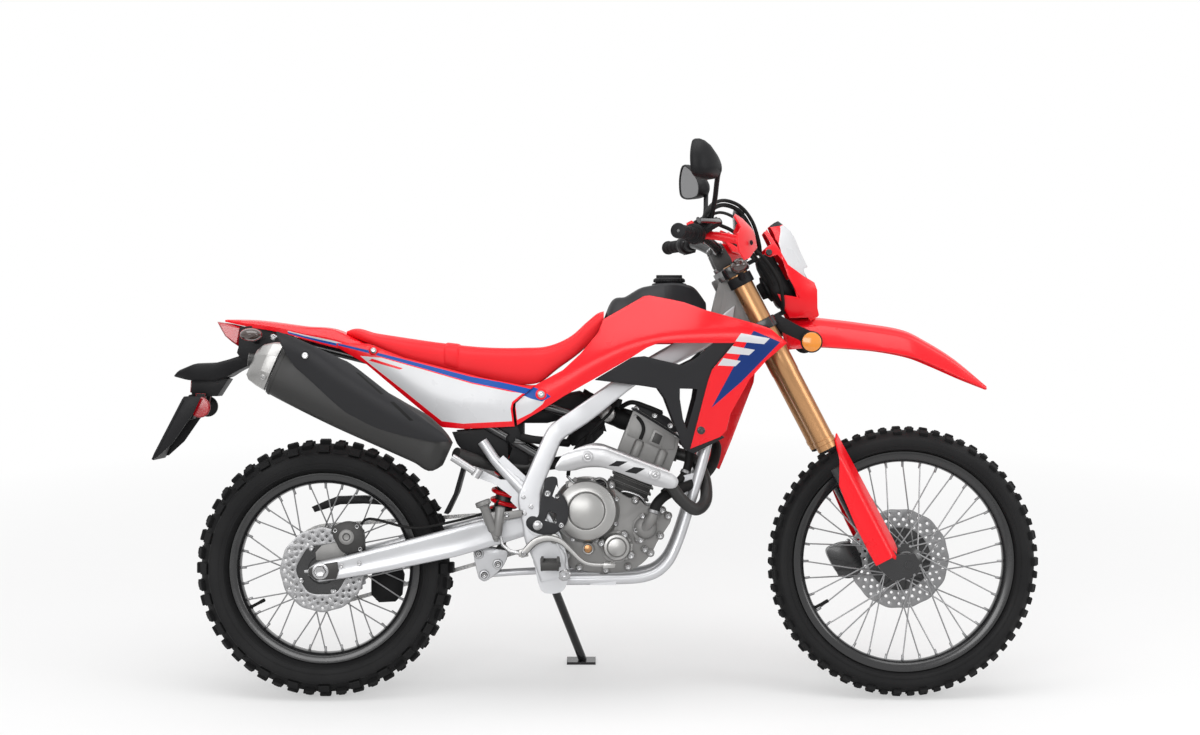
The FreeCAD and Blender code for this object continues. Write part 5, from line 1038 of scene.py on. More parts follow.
for side in (1, -1):
    flip = np.array([1, side, 1])
    way, origin, perch = gripWay * flip, gripIn * flip, perchAt * flip
    controls.lathe(origin, way, gripShape, 28)
    controls.lathe(origin, way, switchShape, 32)
    controls.lathe(perch, way, [(12.2, -15), (17, -14), (18, -11), (18, 11), (17, 14), (12.2, 15)], 24)
    for shift in (-36, -18):
        x, y, z = origin + way * shift
        controls.prism([(x - 17, z - 21), (x + 8, z - 27), (x + 14, z - 20), (x - 12, z - 12)], y - 6, y + 6)
    controls.tube(curve([perch + p * flip for p in ([4, 0, 0], [24, 0, 2], [50, -3, 4], [62, -10, 4])], 10),
        [11, 10.5, 10, 10, 9.5, 9.5, 10, 10, 10, 9], 14)
    controls.tube(curve([perch + p * flip for p in ([58, 4, 4], [60, -20, 4], [50, -58, 7], [36, -100, 12],
        [20, -140, 18], [8, -168, 22], [6, -178, 24])], 30), np.append(np.linspace(8, controlsKnobs["leverRadius"]
        - 1, 27), [8, 9, 7]), 12, 1, 0.62)
    controls.bolt(perch + np.array([56, 0, 14]) * flip, 4.5, 4, 1, way=upward)
    controls.bolt(perch + np.array([-14, 0, 12]) * flip, 4, 4, 1, way=[-0.7, 0, 0.7])
tank = perchAt + np.array([24, 12, 0])
controls.lathe(tank, upward,
    [(8, -6), (17, 0), (19, 3), (19, 25), (20.5, 26), (20.5, 32), (19, 34), (0.01, 34.5)], 32)
controls.boss(perchAt * [1, -1, 1] + [24, -8, -4], [(9, 0), (10, 2), (10, 12), (8, 15)], 20, way=upward)
x, y, z = stop = gripIn - gripWay * 30
controls.lathe(stop + [0, 0, 21], [0.15, 0, 1], [(9, 0), (9, 5), (7.6, 7.5), (0.01, 8)], 20, 2)
controls.prism([(x - 9, z + 26), (x + 11, z + 26), (x + 8, z + 33), (x - 6, z + 33)], y - 4, y + 4, 2)
thin = controlsKnobs["cableRadius"]
cables = [
    ([(2, -240, 222), (22, -214, 236), (48, -160, 247), (78, -106, 243), (104, -66, 218), (113, -46, 176),
        (108, -34, 128), (100, -24, 96)], 5.4),
    ([(-2, -252, 226), (20, -224, 244), (50, -168, 257), (84, -112, 252), (114, -72, 222), (124, -50, 176),
        (116, -40, 124), (104, -30, 90)], thin),
    ([(36, -214, 202), (58, -190, 176), (82, -150, 128), (104, -118, 72), (110, -98, 14), (98, -84, -34),
        (86, -66, -58)], thin),
    ([(30, 206, 206), (60, 180, 178), (86, 140, 130), (100, 104, 80), (102, 70, 40), (92, 50, 8)], thin),
    ([(0, 240, 222), (24, 212, 238), (50, 160, 246), (78, 110, 238), (100, 70, 206), (108, 46, 160),
        (102, 30, 100)], 4),
    ([(20, -196, 190), (52, -160, 168), (78, -128, 118), (92, -110, 62), (96, -92, 10)], 3.4),
]
for route, radius in cables:
    controls.tube(curve(route, 44), radius, 10, 3)
controls.piece("handControls", ["black", "blackPaint", "red", "rubber"], "black_plastic", ["hand_controls"], sharp=42)

# Bar with its clamps
bar = Solid(steer)
barHalf = [(-70.5, -403, 229.6), (-38, -285, 213), (-24, -228, 205), (-10, -180, 192), (4, -140, 170),
    (10, -112, 155), (11.4, -80, 150), (11.4, -40, 150), (11.4, 0, 150)]
barPath = curve(barHalf + [(u, -v, w) for u, v, w in barHalf[-2::-1]], 120)
barAway = np.abs(barPath[:, 1])
bar.tube(barPath, np.interp(barAway, [0, 70, 130, 405], [14.2, 14.2, 11.1, 11.1]), 20)
for v in (-43, 43):
    bar.prism([(-8, 102), (31, 102), (34, 120), (32, 150), (-9, 150), (-11, 120)], v - 16, v + 16, 1)
    bar.prism([(-9, 151), (32, 151), (31, 160), (22, 168), (2, 168), (-8, 160)], v - 16, v + 16, 1)
    for u in (-3, 26):
        for away in (-8, 8):
            bar.bolt((u, v + away, 161), 4.2, 6, 2, way=upward)
bar.piece("handlebar", ["blackPaint", "castDark", "chrome"], "black_plastic", ["handlebar"], bevel=(1.2, 55))

# Mirrors: a bowl swept from the glass edge to a low crown, on a bent stem
mirrorKnobs = {"toe": 22, "tilt": 3, "centre": (62, -340, 351), "stem": 6.2}
toe = radians(mirrorKnobs["toe"])
# The glass stands upright in the bike's frame: ahead and upright seen from the raked steering frame
upright = radians(rakeDeg - mirrorKnobs["tilt"])
upWay, aheadWay = (np.array([sin(a), 0, cos(a)]) for a in (upright, upright + pi / 2))
acrossWay = -sin(toe) * aheadWay - [0, cos(toe), 0]
backWay = cos(toe) * aheadWay - [0, sin(toe), 0]
mirrorEdge = curve([(-66, -16), (-58, 4), (-30, 28), (4, 46), (28, 53), (46, 45), (61, 20), (65, -8), (58, -30),
    (28, -41), (-28, -43), (-58, -36)], 48, True)


def mirrorRing(size, back, shift=0):
    # The glass edge made smaller, moved towards the stem and set back
    spot = mirrorEdge * size + np.array([-10, -8]) * shift
    return mirrorKnobs["centre"] + spot @ [acrossWay, upWay] + backWay * back


mirrors = Solid(steer)
mirrors.loft([mirrorRing(0.9, -7), mirrorRing(0.9, -10), mirrorRing(0.97, -10.5), mirrorRing(1, -6),
    mirrorRing(0.99, 4), mirrorRing(0.93, 14, 0.2), mirrorRing(0.78, 24, 0.5), mirrorRing(0.52, 32, 0.8),
    mirrorRing(0.26, 35.4, 1), mirrorRing(0.05, 36, 1)])
mirrors.loft([mirrorRing(0.893, -6.8), mirrorRing(0.893, -8.4)], 1)
mirrors.tube(curve([(12, -222, 204), (18, -223, 216), (30, -230, 233), (52, -256, 262), (68, -286, 288),
    (80, -314, 308), (84, -326, 322)], 30), np.append(np.full(24, mirrorKnobs["stem"]), [7, 8, 9.5, 11, 12, 12]), 14)
mirrors.lathe((12, -222, 202), (0.35, -0.1, 0.9), [(9.5, 0), (9.5, 12), (8, 14), (8, 24), (6, 26)], 12)
mirrors.mirror(4)
mirrors.piece("mirrors", ["black", "mirror"], "black_plastic", ["mirrors"], sharp=50)

# Hand guards: a sheet over (outwards, up), its forward reach falling away from a slanted ridge
guardReach = lineOf([(200, 58), (215, 74), (240, 88), (275, 94), (305, 93), (345, 82), (385, 63), (416, 43)])


def handShield(p):
    # Forward reach over (outwards, up), less 0.32 of the distance from the fold
    out, up = p[:, 0], p[:, 1]
    fold = 150 + 0.12 * (out - 300)
    return columns(guardReach(out) - 0.32 * soft(np.abs(up - fold), 8) + 4, -out, up)


shieldEdge = [(207, 172), (204, 137), (236, 114), (300, 110), (346, 104), (378, 95), (398, 96), (412, 118),
    (415, 142), (404, 160), (378, 170), (356, 201), (338, 205), (318, 190), (262, 190), (228, 184)]
handGuards = Solid(steer)
handGuards.add(*sheetMesh(shieldEdge, handShield, -4, step=8)[:2])
handGuards.tube(curve([(86, -246, 128), (62, -232, 146), (30, -218, 172), (2, -208, 192), (-13, -206, 199)], 16),
    np.linspace(12, 9, 16), 14, 0, 0.4)
handGuards.bolt((72, -366, 126), 5, 3, 1, way=(0.75, -0.55, -0.3))
handGuards.mirror(3)
handGuards.piece("handGuards", ["red", "black"], "red_plastic", ["hand_guards"], sharp=34)

# Meter: a rounded case with a dark screen, leaning forwards
meterTurn, meterPivot = np.array(Matrix.Rotation(radians(25), 3, "Y")), [75, 0, 142]


def meterPoint(p):
    # The steering frame leant forwards about the meter's foot
    return steer((points(p) - meterPivot) @ meterTurn.T + meterPivot)


bodyOf[meterPoint] = "steering"
meter = Solid(meterPoint)
meterFace = [(-62, 168), (-56, 152), (-40, 143), (40, 143), (56, 152), (62, 168), (60, 212), (50, 228), (34, 232),
    (-34, 232), (-50, 228), (-60, 212)]
meter.prism(meterFace, 64, 86, 0, "yz")
meter.prism([(y * 0.9, 188 + (z - 188) * 0.88) for y, z in meterFace], 62, 66, 1, "yz")
meter.prism([(y * 0.55, 192 + (z - 188) * 0.5) for y, z in meterFace], 61.4, 64, 2, "yz")
meter.prism([(-20, 100), (20, 100), (16, 150), (-16, 150)], 84, 92, 0, "yz")
for v in (-38, -13, 13, 38):
    meter.boss((64, v, 155), [(4.5, 0), (4.5, 3), (3.5, 4)], 16, way=toBack)
meter.piece("meter", ["black", "blackPaint", "lens"], "black_plastic", ["instrument"], bevel=(3, 50))

# Headlight: bowls behind a clear lens in a dark case
lampEdge = [(-50, -56), (50, -56), (64, -12), (60, 30), (40, 92), (-40, 92), (-60, 30), (-64, -12)]
lampGlass = [(-43, -49), (43, -49), (54, -20), (46, 10.5), (-46, 10.5), (-54, -20)]


def drawnIn(ring, u, size, middle):
    # A ring of (across, up) at reach u, made smaller about a height on the middle plane
    return columns(u, size * ring[:, 0], middle + size * (ring[:, 1] - middle))


lamp = Solid(steer)
lampRing, glassRing = dense(lampEdge, 3), dense(lampGlass, 4)
lampRing = lampRing[np.linspace(0, len(lampRing) - 1, 48).astype(int)]
lamp.loft([drawnIn(lampRing, u, size, 5) for u, size in ((84, 0.7), (88, 0.86), (100, 0.97), (122, 1), (132, 0.94))])
lamp.loft([drawnIn(glassRing, u, size, -19) for u, size in ((128, 0.8), (172, 0.99), (176, 1), (177, 0.95))])
for v in (-24, 24):
    lamp.lathe((178, v, -22), toFront, [(19, -1), (19, 1), (15.2, -0.5), (8.55, -1.5), (0.01, -1.8)], 32, 1)
lamp.lathe((177, 0, -6), toFront, [(7, 0), (7, 1.5), (4, 2.5), (0.01, 2.6)], 20, 1)
for v in (-34, 34):
    lamp.slab((24, 84), (92, 94), v - 6, v + 6)
    lamp.slab((24, -66), (92, -56), v * 1.55 - 6, v * 1.55 + 6)
lamp.lathe((86, 0, 10), toBack, [(34, 0), (34, 8), (22, 12), (20, 24), (0.01, 25)], 32)
lamp.piece("headlight", ["black", "chrome"], "lamp", ["headlight"], bevel=(1.5, 50))
glass = Solid(steer)
glassSizes = ((178, 1), (181, 0.985), (183.5, 0.93), (184.5, 0.6), (185, 0.05))
# The lens bulges: its reach falls away with the square of the distance from the middle plane
glass.loft([drawnIn(glassRing, u - 5 * (glassRing[:, 0] / 54 * size) ** 2, size, -19) for u, size in glassSizes])
glass.piece("headlightLens", "lens", "lamp", sharp=60)

# Amber side reflectors on their brackets, and the front indicators
frontLamps = Solid(steer)
bracketPath = [(50, -58), (68, -54), (104, -108), (126, -136), (126, -176), (98, -176), (88, -140), (60, -104),
    (50, -76)]
frontLamps.prism(bracketPath, -100, -104)
frontLamps.boss((112, -103.6, -157), [(27, 0), (27, 7), (25, 9), (23.5, 8)], 40)
frontLamps.lathe((112, -110.5, -157), toRight, [(23.8, 0), (23.8, 1.6), (22.5, 2.6), (0.01, 3)], 40, 1)


def podRings(centre, way, wide, tall, count, sizes):
    # Ovals of a lamp pod: each (out, size) lies out along the way from the centre
    turn = circle(count)
    return [centre + np.multiply(way, out) + columns(wide * size * np.cos(turn), 0, tall * size * np.sin(turn))
        for out, size in sizes]


podPlace = [34, -179, 92], [0.06, -1, 0.06], 22, 18, 32
frontLamps.loft(podRings(*podPlace, ((-26, 0.3), (-22, 0.55), (-12, 0.86), (0, 1), (6, 1))))
frontLamps.loft(podRings(*podPlace, ((6, 0.97), (13, 0.9), (19, 0.72), (23, 0.45), (25, 0.05))), 2)
frontLamps.tube([(34, -158, 88), (32, -146, 74), (30, -137, 62)], [8, 7.5, 9], 14)
frontLamps.lathe((26, -107, 46), upward, [(26.4, 0), (31, 0), (32, 2), (32, 24), (31, 26), (26.4, 26)], 40)
frontLamps.mirror(7)
frontLamps.piece("frontLamps", ["black", "amber", "smoke"], "lamp", ["front_lamps"], bevel=(0.8, 60))
print("bars and lamps")

# Brake discs and the rear sprocket: flat rings with waved or toothed edges, and holes
ringSizes = {
    "rearDisc": {"place": rearWheel, "node": "rear_disc", "face": -76, "wall": 4, "outer": 106, "inner": 63,
        "waves": 12, "points": 168, "wave": 2.4, "holes": [(74, 24, 3.2, 0), (84, 24, 3.6, 0.5), (95, 24, 3.2, 0)]},
    "frontDisc": {"place": frontWheel, "node": "front_disc", "face": 72, "wall": 4, "outer": 128, "inner": 76,
        "waves": 14, "points": 168, "wave": 2.6, "holes": [(88, 28, 3.6, 0), (101, 28, 4, 0.5), (115, 28, 3.6, 0)]},
    "rearSprocket": {"place": rearWheel, "node": "rear_sprocket", "face": 73, "wall": 6, "outer": 104.5, "inner": 50,
        "waves": 40, "points": 320, "wave": 4.6, "holes": [(72, 6, 11, 0.25), (58, 6, 4.2, 0.5), (88, 12, 4.5, 0)]},
}


def roundLine(radius, turn, middle=(0, 0)):
    # Points at a radius, one for all or one for each angle, about a middle
    return np.stack([middle[0] + radius * np.cos(turn), middle[1] + radius * np.sin(turn)], 1)


for name, size in ringSizes.items():
    # Edge radius = outer less a cosine wave, all round
    turn = circle(size["points"])
    edge = size["outer"] - size["wave"] * (0.5 - 0.5 * np.cos(size["waves"] * turn))
    holeLoops = [roundLine(size["inner"] + 2.2 * np.cos(6 * turn), turn)[::4]]
    for radius, count, hole, phase in size["holes"]:
        at = roundLine(radius, 2 * pi * (np.arange(count) + phase) / count)
        holeLoops += [roundLine(hole, circle(14), middle) for middle in at]
    face = lambda p, y=size["face"]: columns(p[:, 0], y, p[:, 1])
    flat = sheetMesh(roundLine(edge, turn), face, size["wall"], [], holeLoops, 7)
    panelPiece(name, [flat], "steel", "steel", [size["node"]], size["place"], 0.5)

# Chain: side plates and rollers, spaced by the pitch along the loop round both sprockets
chainKnobs = {"pitch": 15.875, "plane": 76, "plateHalf": 5.4, "rearRadius": 101.2, "frontRadius": 35.7,
    "counter": (612, 432)}
rear, front = np.array([0, 325]), np.array(chainKnobs["counter"])
tilt = atan2(*(front - rear)[::-1])
slant = asin((chainKnobs["rearRadius"] - chainKnobs["frontRadius"]) / dist(front, rear))
arcRear = np.linspace(tilt + pi / 2 - slant, tilt + 1.5 * pi + slant, 60)
arcFront = np.linspace(tilt - pi / 2 + slant, tilt + pi / 2 - slant, 30)
loopLine = np.vstack([roundLine(chainKnobs["rearRadius"], arcRear, rear), roundLine(chainKnobs["frontRadius"],
    arcFront, front)])
loopLine = np.vstack([loopLine, loopLine[:1]])
run = np.append(0, np.cumsum(np.linalg.norm(np.diff(loopLine, axis=0), axis=1)))
linkCount = int(run[-1] / chainKnobs["pitch"] / 2) * 2
stations = np.arange(linkCount) * run[-1] / linkCount
pins = np.stack([np.interp(stations, run, loopLine[:, 0]), np.interp(stations, run, loopLine[:, 1])], 1)
following = np.roll(pins, -1, 0)
plateTurn = circle(12)
# Each plate is an eight-shaped outline, wide at the pins and waisted between them
long = np.cos(plateTurn) * 6.2 + np.sign(np.cos(plateTurn) + 1e-9) * chainKnobs["pitch"] / 2
tall = np.sin(plateTurn) * chainKnobs["plateHalf"] * np.where(np.abs(np.cos(plateTurn)) < 0.3, 0.85, 1)
chain = Solid()
for half, far, near in ((0, 7.6, 5.9), (1, 5.7, 4.2)):
    for k in range(half, linkCount, 2):
        a, b = pins[k], following[k]
        way = unit(b - a)
        up = np.array([-way[1], way[0]])
        outline = (a + b) / 2 + np.outer(long, way) + np.outer(tall, up)
        for side in (1, -1):
            chain.prism(outline, chainKnobs["plane"] + side * near, chainKnobs["plane"] + side * far, half)
for x, z in pins:
    chain.lathe((x, chainKnobs["plane"] - 8.6, z), toLeft, [(2.4, 0), (2.4, 4.6), (4.6, 4.6), (4.6, 12.6),
        (2.4, 12.6), (2.4, 17.2)], 8, 1)
chain.piece("driveChain", ["castBright", "steel"], "steel", ["drive_chain"])
print("discs and chain", linkCount)

# Swing arm: rounded box sections along the arm, hollowed a little on the outside
armKnobs = {"inner": 92, "outer": 118, "corner": 7, "groove": 2.2}
armTop = lineOf([(-28, 334), (-10, 347), (55, 361), (220, 404), (392, 449), (500, 467), (540, 466), (562, 450),
    (566, 440)], False)
armLow = lineOf([(-28, 314), (-9, 297), (60, 307), (150, 322), (335, 360), (442, 390), (520, 415), (548, 416),
    (562, 430), (566, 438)], False)
armOuter = lineOf([(-28, armKnobs["outer"]), (300, armKnobs["outer"]), (420, 104), (566, 104)], False)
armInner = lineOf([(-28, armKnobs["inner"]), (300, armKnobs["inner"]), (420, 88), (566, 88)], False)
sideTurn = np.linspace(-1, 1, 7)
armRings = []
for x in (-28, -24, -16, -4, 10, 55, 110, 170, 230, 290, 335, 365, 395, 420, 442, 470, 500, 520, 538, 550, 558, 563,
        566):
    top, low, outer, inner = armTop(x), armLow(x), armOuter(x), armInner(x)
    c = min(armKnobs["corner"], (top - low) / 2.4)
    mid, half = (top + low) / 2, (top - low) / 2
    sink = armKnobs["groove"] * (1 if 20 < x < 400 else 0) * np.clip((0.62 - np.abs(sideTurn)) * 8, 0, 1)
    outside = [(outer - s, mid + t * (half - c)) for t, s in zip(sideTurn, sink)]
    ring = [(inner + c * 0.3, top - c * 0.3), (inner, top - c), (inner, low + c), (inner + c * 0.3, low + c * 0.3),
        (inner + c, low), (outer - c, low), (outer - c * 0.3, low + c * 0.3)] + outside + [(outer - c * 0.3,
        top - c * 0.3), (outer - c, top), (inner + c, top)]
    armRings.append([(x, -y, z) for y, z in ring])
arm = Solid()
arm.loft(np.array(armRings)).mirror()
arm.lathe((538, -90, 440), toLeft, [(10, 0), (25, 0), (26, 2), (26, 12), (20, 16), (20, 164), (26, 168), (26, 178),
    (25, 180), (10, 180)], 40)
bridgeRing = [(345, 398), (351, 392), (392, 398), (398, 404), (398, 430), (392, 436), (351, 430), (345, 424)]
arm.prism(bridgeRing, -93, 93)
arm.prism([(368, 398), (398, 400), (470, 404), (500, 430), (440, 446), (380, 436)], -26, 26)
for side in (-1, 1):
    y = side * armKnobs["outer"]
    arm.prism([(-30, 331), (-12, 340), (42, 349), (46, 328), (40, 306), (-10, 302), (-30, 316)], y, y + side * 3.2, 1)
    arm.boss((0, y + side * 3, 325), [(18, 0), (18, 2), (15.5, 2.4), (15.5, 12), (13.5, 14), (10.5, 14), (10.5, 9)],
        6 if side < 0 else 30, 2, way=(0, side, 0))
    arm.boss((0, y, 325), [(20, 0), (20, 4.2), (18, 4.6)], 36, 2, way=(0, side, 0))
    arm.lathe((-27, side * 105, 324), (-1, 0, -0.06), [(6.5, 0), (6.5, 5), (4, 5.2), (4, 14), (0.01, 14.5)], 6, 2)
    arm.lathe((0, side * 92, 325), (0, -side, 0), [(16, 0), (16, 10), (14, 11.5), (10.5, 11.5)], 32, 2)
for spot in ((52, -120, 338), (96, -120, 344)):
    arm.bolt(spot, 4.5, 4, 2)
arm.lathe((0, -81, 325), toLeft, [(9.8, 0), (9.8, 162)], 20, 2)
arm.piece("swingArm", ["silver", "castDark", "chrome"], "alloy", ["swingarm"], bevel=(1.2, 60), sharp=42)

# Chain guard and slider, with the chain guide under the arm
guard = Solid()
guardTop = [(-43, 474), (20, 500), (90, 502), (150, 497), (210, 487), (275, 478), (286, 470), (280, 462), (210, 470),
    (150, 478), (90, 482), (30, 480), (-36, 460)]
guard.prism(guardTop, 92, 96)
guard.prism(guardTop, 61, 64)
guard.loft([[(x, 62, z - 0.6), (x, 95, z - 0.6), (x, 95, z - 4), (x, 62, z - 4)] for x, z in ((-43, 474), (-10, 489),
    (20, 500), (55, 502), (90, 502), (150, 497), (210, 487), (275, 478), (284, 472))])
guideLine = [(118, 330), (176, 340), (192, 300), (186, 248), (170, 232), (128, 230), (108, 250), (108, 296)]
guard.prism(guideLine, 64, 68.5)
guard.prism(guideLine, 84, 90)
guard.prism([(120, 236), (176, 238), (178, 247), (118, 245)], 66, 88)
guard.bolt((150, 96, 488), 4.5, 4, 1, way=toLeft)
guard.bolt((148, 90, 316), 4.5, 4, 1, way=toLeft)
guard.piece("chainGuard", ["black", "chrome"], "black_plastic", ["chain_guard"], bevel=(0.8, 50))

# Rear caliper with its carrier, pins and hose union
caliper = Solid()
bodyLine = curve([(24, 425), (40, 440), (66, 447), (92, 438), (105, 416), (106, 388), (92, 370), (66, 366), (48, 374),
    (36, 394)], 40, True)
caliper.prism(bodyLine, -94, -82)
caliper.prism(scaled(bodyLine, 0.92, [65, 407]), -97, -93)
caliper.prism(scaled(bodyLine, 0.96, [65, 407]), -70, -56)
caliper.prism([(70, 446), (104, 424), (108, 372), (98, 372), (92, 420), (66, 440)], -84, -68)
caliper.boss((62, -96, 408), [(19, 0), (19, 2.5), (17, 4), (9, 4), (8, 2.5)], 36, 1)
for spot in ((34, -92, 424), (96, -92, 378), (88, -92, 434)):
    caliper.bolt(spot, 5.5, 6, 2)
caliper.prism([(-14, 350), (20, 346), (56, 352), (60, 380), (40, 396), (0, 388), (-16, 370)], -91.5, -84, 1)
caliper.tube(curve([(98, -90, 440), (112, -100, 452), (140, -112, 452), (230, -112, 432), (330, -108, 448),
    (420, -112, 474), (440, -128, 500)], 40), 3.4, 10, 3)
caliper.piece("rearCaliper", ["castDark", "cast", "chrome", "rubber"], "frame_dark", ["rear_caliper"],
    bevel=(1.2, 55))

# Front caliper on the left fork leg
brake = Solid(steer)
gripLine = curve([(-86, -652), (-60, -648), (-30, -656), (-16, -676), (-18, -712), (-30, -736), (-62, -742),
    (-84, -726), (-90, -690)], 40, True)
brake.prism(gripLine, 54, 68)
brake.prism(gripLine, 80, 94)
brake.prism(scaled(gripLine, 0.9, [-52, -694]), 92, 98)
brake.prism([(-88, -660), (-76, -652), (-74, -738), (-88, -724)], 66, 82)
for w in (-672, -712):
    brake.lathe((-52, 97, w), toLeft, [(15, 0), (15, 2), (13, 3.4), (0.01, 3.6)], 32, 1)
brake.prism([(-30, -722), (12, -716), (14, -692), (-26, -688)], 86, 98, 1)
for u, w in ((-4, -706), (-24, -660), (-24, -728)):
    brake.bolt((u, 96, w), 5.5, 5, 2, way=toLeft)
brake.piece("frontCaliper", ["blackPaint", "castDark", "chrome"], "frame_dark", ["front_caliper"], bevel=(1.2, 55))
print("arm and brakes")

# Rear fender: bracket under the tail, the arm that carries the plate, and the plate's holder
fenderKnobs = {"plateTop": (-344, 757), "plateWall": 5.3, "boltSpread": 55, "boltDown": 46, "boltRadius": 3.3}
armUpper = lineOf([(-374, 811), (-364, 823), (-321, 840), (-270, 842), (-240, 850), (-207, 861), (-170, 880),
    (-140, 902)], False)
armUnder = lineOf([(-374, 806), (-345, 799), (-334, 797), (-270, 797), (-240, 806), (-216, 821), (-180, 838),
    (-140, 852)], False)
armWidth = lineOf([(-374, 50), (-340, 70), (-270, 72), (-207, 58), (-140, 50)])
rearFender = Solid()
rearFender.loft([crownRing(x, armWidth(x), armUnder(x), armUpper(x) - 2, min(9, (armUpper(x) - armUnder(x)) / 3), 2,
    armWidth(x) * 0.9) for x in np.linspace(-374, -142, 34)])
rearFender.prism([(-209, 930), (-180, 933), (-110, 922), (-88, 914), (-84, 896), (-130, 868), (-157, 852),
    (-205, 850), (-216, 866), (-212, 880)], -58, 58)
rearFender.prism([(-332, 806), (-262, 806), (-240, 800), (-268, 757), (-328, 757), (-334, 768)], -40, 40)
down = np.array([-81, -157]) / np.hypot(81, 157)
plateEdge = [(-90, 8), (-82, 0), (82, 0), (90, 8), (90, 160), (82, 176), (-82, 176), (-90, 160)]
plateHoles = [roundLine(fenderKnobs["boltRadius"], circle(16), (side * fenderKnobs["boltSpread"],
    fenderKnobs["boltDown"])) for side in (-1, 1)]
plateHoles += [[(s * 40 - 12, 100), (s * 40 + 12, 100), (s * 40 + 12, 108), (s * 40 - 12, 108)] for s in (-1, 1)]
topX, topZ = fenderKnobs["plateTop"]
holder = sheetMesh(plateEdge, lambda p: columns(topX + p[:, 1] * down[0], p[:, 0], topZ + p[:, 1] * down[1]),
    fenderKnobs["plateWall"], [], plateHoles, 9)
rearFender.add(*holder[:2])
for y in (-88, 82):
    rearFender.prism([(-340, 757), (-300, 757), (-320, 715), (-372, 640), (-412, 604), (-418, 604)], y, y + 6)
rearFender.prism([(-342, 760), (-326, 764), (-332, 700), (-374, 690)], -22, 22)
for y in (-58, 58):
    rearFender.bolt((-124, y, 906), 7, 5, 1, way=(0, y, 0))
rearFender.piece("rearFender", ["black", "chrome"], "black_plastic", ["rear_fender"], bevel=(1.5, 45))

# Tail light, rear indicators and reflectors
rearLamps = Solid()
tailFace = np.array([(-268, 944), (-232, 938), (-203, 931), (-207, 900), (-212, 880), (-230, 892), (-248, 907),
    (-258, 924)])
faceMid = tailFace.mean(0)
rearLamps.loft([[(x, y, z) for x, z in scaled(tailFace, s, faceMid)] for y, s in ((-52, 0.72), (-47, 0.92), (-38, 1),
    (0, 1.02), (38, 1), (47, 0.92), (52, 0.72))])
rearLamps.loft([[(x - 1.5, y, z) for x, z in scaled(tailFace, s, faceMid)]
    for y, s in ((-30, 0.9), (-26, 1), (26, 1), (30, 0.9))], 1)
for side in (-1, 1):
    podPlace = [-167, side * 150, 910], [0, side, 0], 28, 16, 36
    rearLamps.loft(podRings(*podPlace, ((-30, 0.25), (-26, 0.5), (-14, 0.84), (-2, 0.99), (4, 1))), 2)
    rearLamps.loft(podRings(*podPlace, ((4, 0.96), (12, 0.9), (19, 0.74), (25, 0.45), (28, 0.05))), 3)
    rearLamps.tube([(-167, side * 128, 903), (-167, side * 100, 899), (-167, side * 59, 897)], [8, 7, 9], 14, 2)
    rearLamps.boss((-308, side * 48, 730), [(8, 0), (20, 2), (26, 5), (26.5, 8), (26.5, 14), (24.5, 15), (24, 13.5)],
        36, 2, way=(0, side, 0))
    rearLamps.lathe((-308, side * 61, 730), (0, side, 0), [(24.2, 0), (24.2, 3), (22.5, 4.4), (0.01, 4.8)], 36, 4)
    rearLamps.prism([(-320, 764), (-296, 764), (-298, 730), (-318, 730)], side * 30, side * 50, 2)
rearLamps.prism([(-337, 766), (-333, 768), (-331, 796), (-335, 797)], -34, 34, 4)
rearLamps.piece("rearLamps", ["redLens", "redGlow", "black", "smoke", "redLens"], "red_lamp", ["tail_lamps"],
    bevel=(0.9, 60), sharp=35)
print("tail")

# Heel guard by the clutch cover: a plate with two triangular windows
heelLine = [(558, 556), (584, 558), (590, 529), (612, 492), (611, 452), (592, 428), (566, 416), (535, 421),
    (516, 432), (510, 446), (518, 458), (538, 462), (545, 498), (552, 530)]
heelWindows = [[(556, 452), (584, 444), (584, 468), (566, 476)], [(574, 512), (590, 500), (592, 526), (584, 540)]]
heel = sheetMesh(curve(heelLine, 70, True), lambda p: columns(p[:, 0], -142 + 0.04 * (p[:, 1] - 490), p[:, 1]), 5, [],
    heelWindows, 6)
feet = Solid()
feet.add(*heel[:2])
feet.lathe((526, -136, 446), toRight, [(17, 0), (17, 8), (14, 10), (0.01, 11)], 30)
feet.bolt((562, -143, 518), 6.5, 5, 1)
feet.bolt((596, -143, 440), 5.5, 5, 1)
# Brake pedal, a flattened bent arm, with its toe piece
pedalLine = curve([(503, 372), (514, 384), (530, 400), (552, 409), (575, 409), (598, 400), (620, 380), (645, 356),
    (668, 346), (704, 344)], 60)
pedalWay = unit(np.gradient(pedalLine, axis=0))
pedalSide = np.stack([-pedalWay[:, 1], pedalWay[:, 0]], 1)
pedalHalf = np.interp(np.linspace(0, 1, 60), [0, 0.12, 0.3, 0.6, 0.8, 1], [8, 9, 9, 6.5, 5, 5])
pedalRings = []
for (x, z), (a, b), h in zip(pedalLine, pedalSide, pedalHalf):
    pedalRings.append([(x + a * h * s, y, z + b * h * s) for s, y in ((-1, -166), (-0.8, -170), (0.8, -170),
        (1, -166), (1, -160), (0.8, -157), (-0.8, -157), (-1, -160))])
feet.loft(pedalRings, 2)
feet.prism([(698, 338), (728, 340), (730, 350), (700, 352)], -200, -160, 2)
for x in (702, 709, 716, 723):
    feet.prism([(x, 350), (x + 3.5, 350), (x + 2.6, 355), (x + 1, 355)], -199, -162, 2)
feet.prism([(500, 362), (516, 366), (512, 388), (492, 380), (492, 366)], -168, -158, 2)
feet.bolt((505, -168, 373), 6, 4, 1)
feet.tube([(580, -128, 408), (580, -158, 408)], 12, 20, 2)
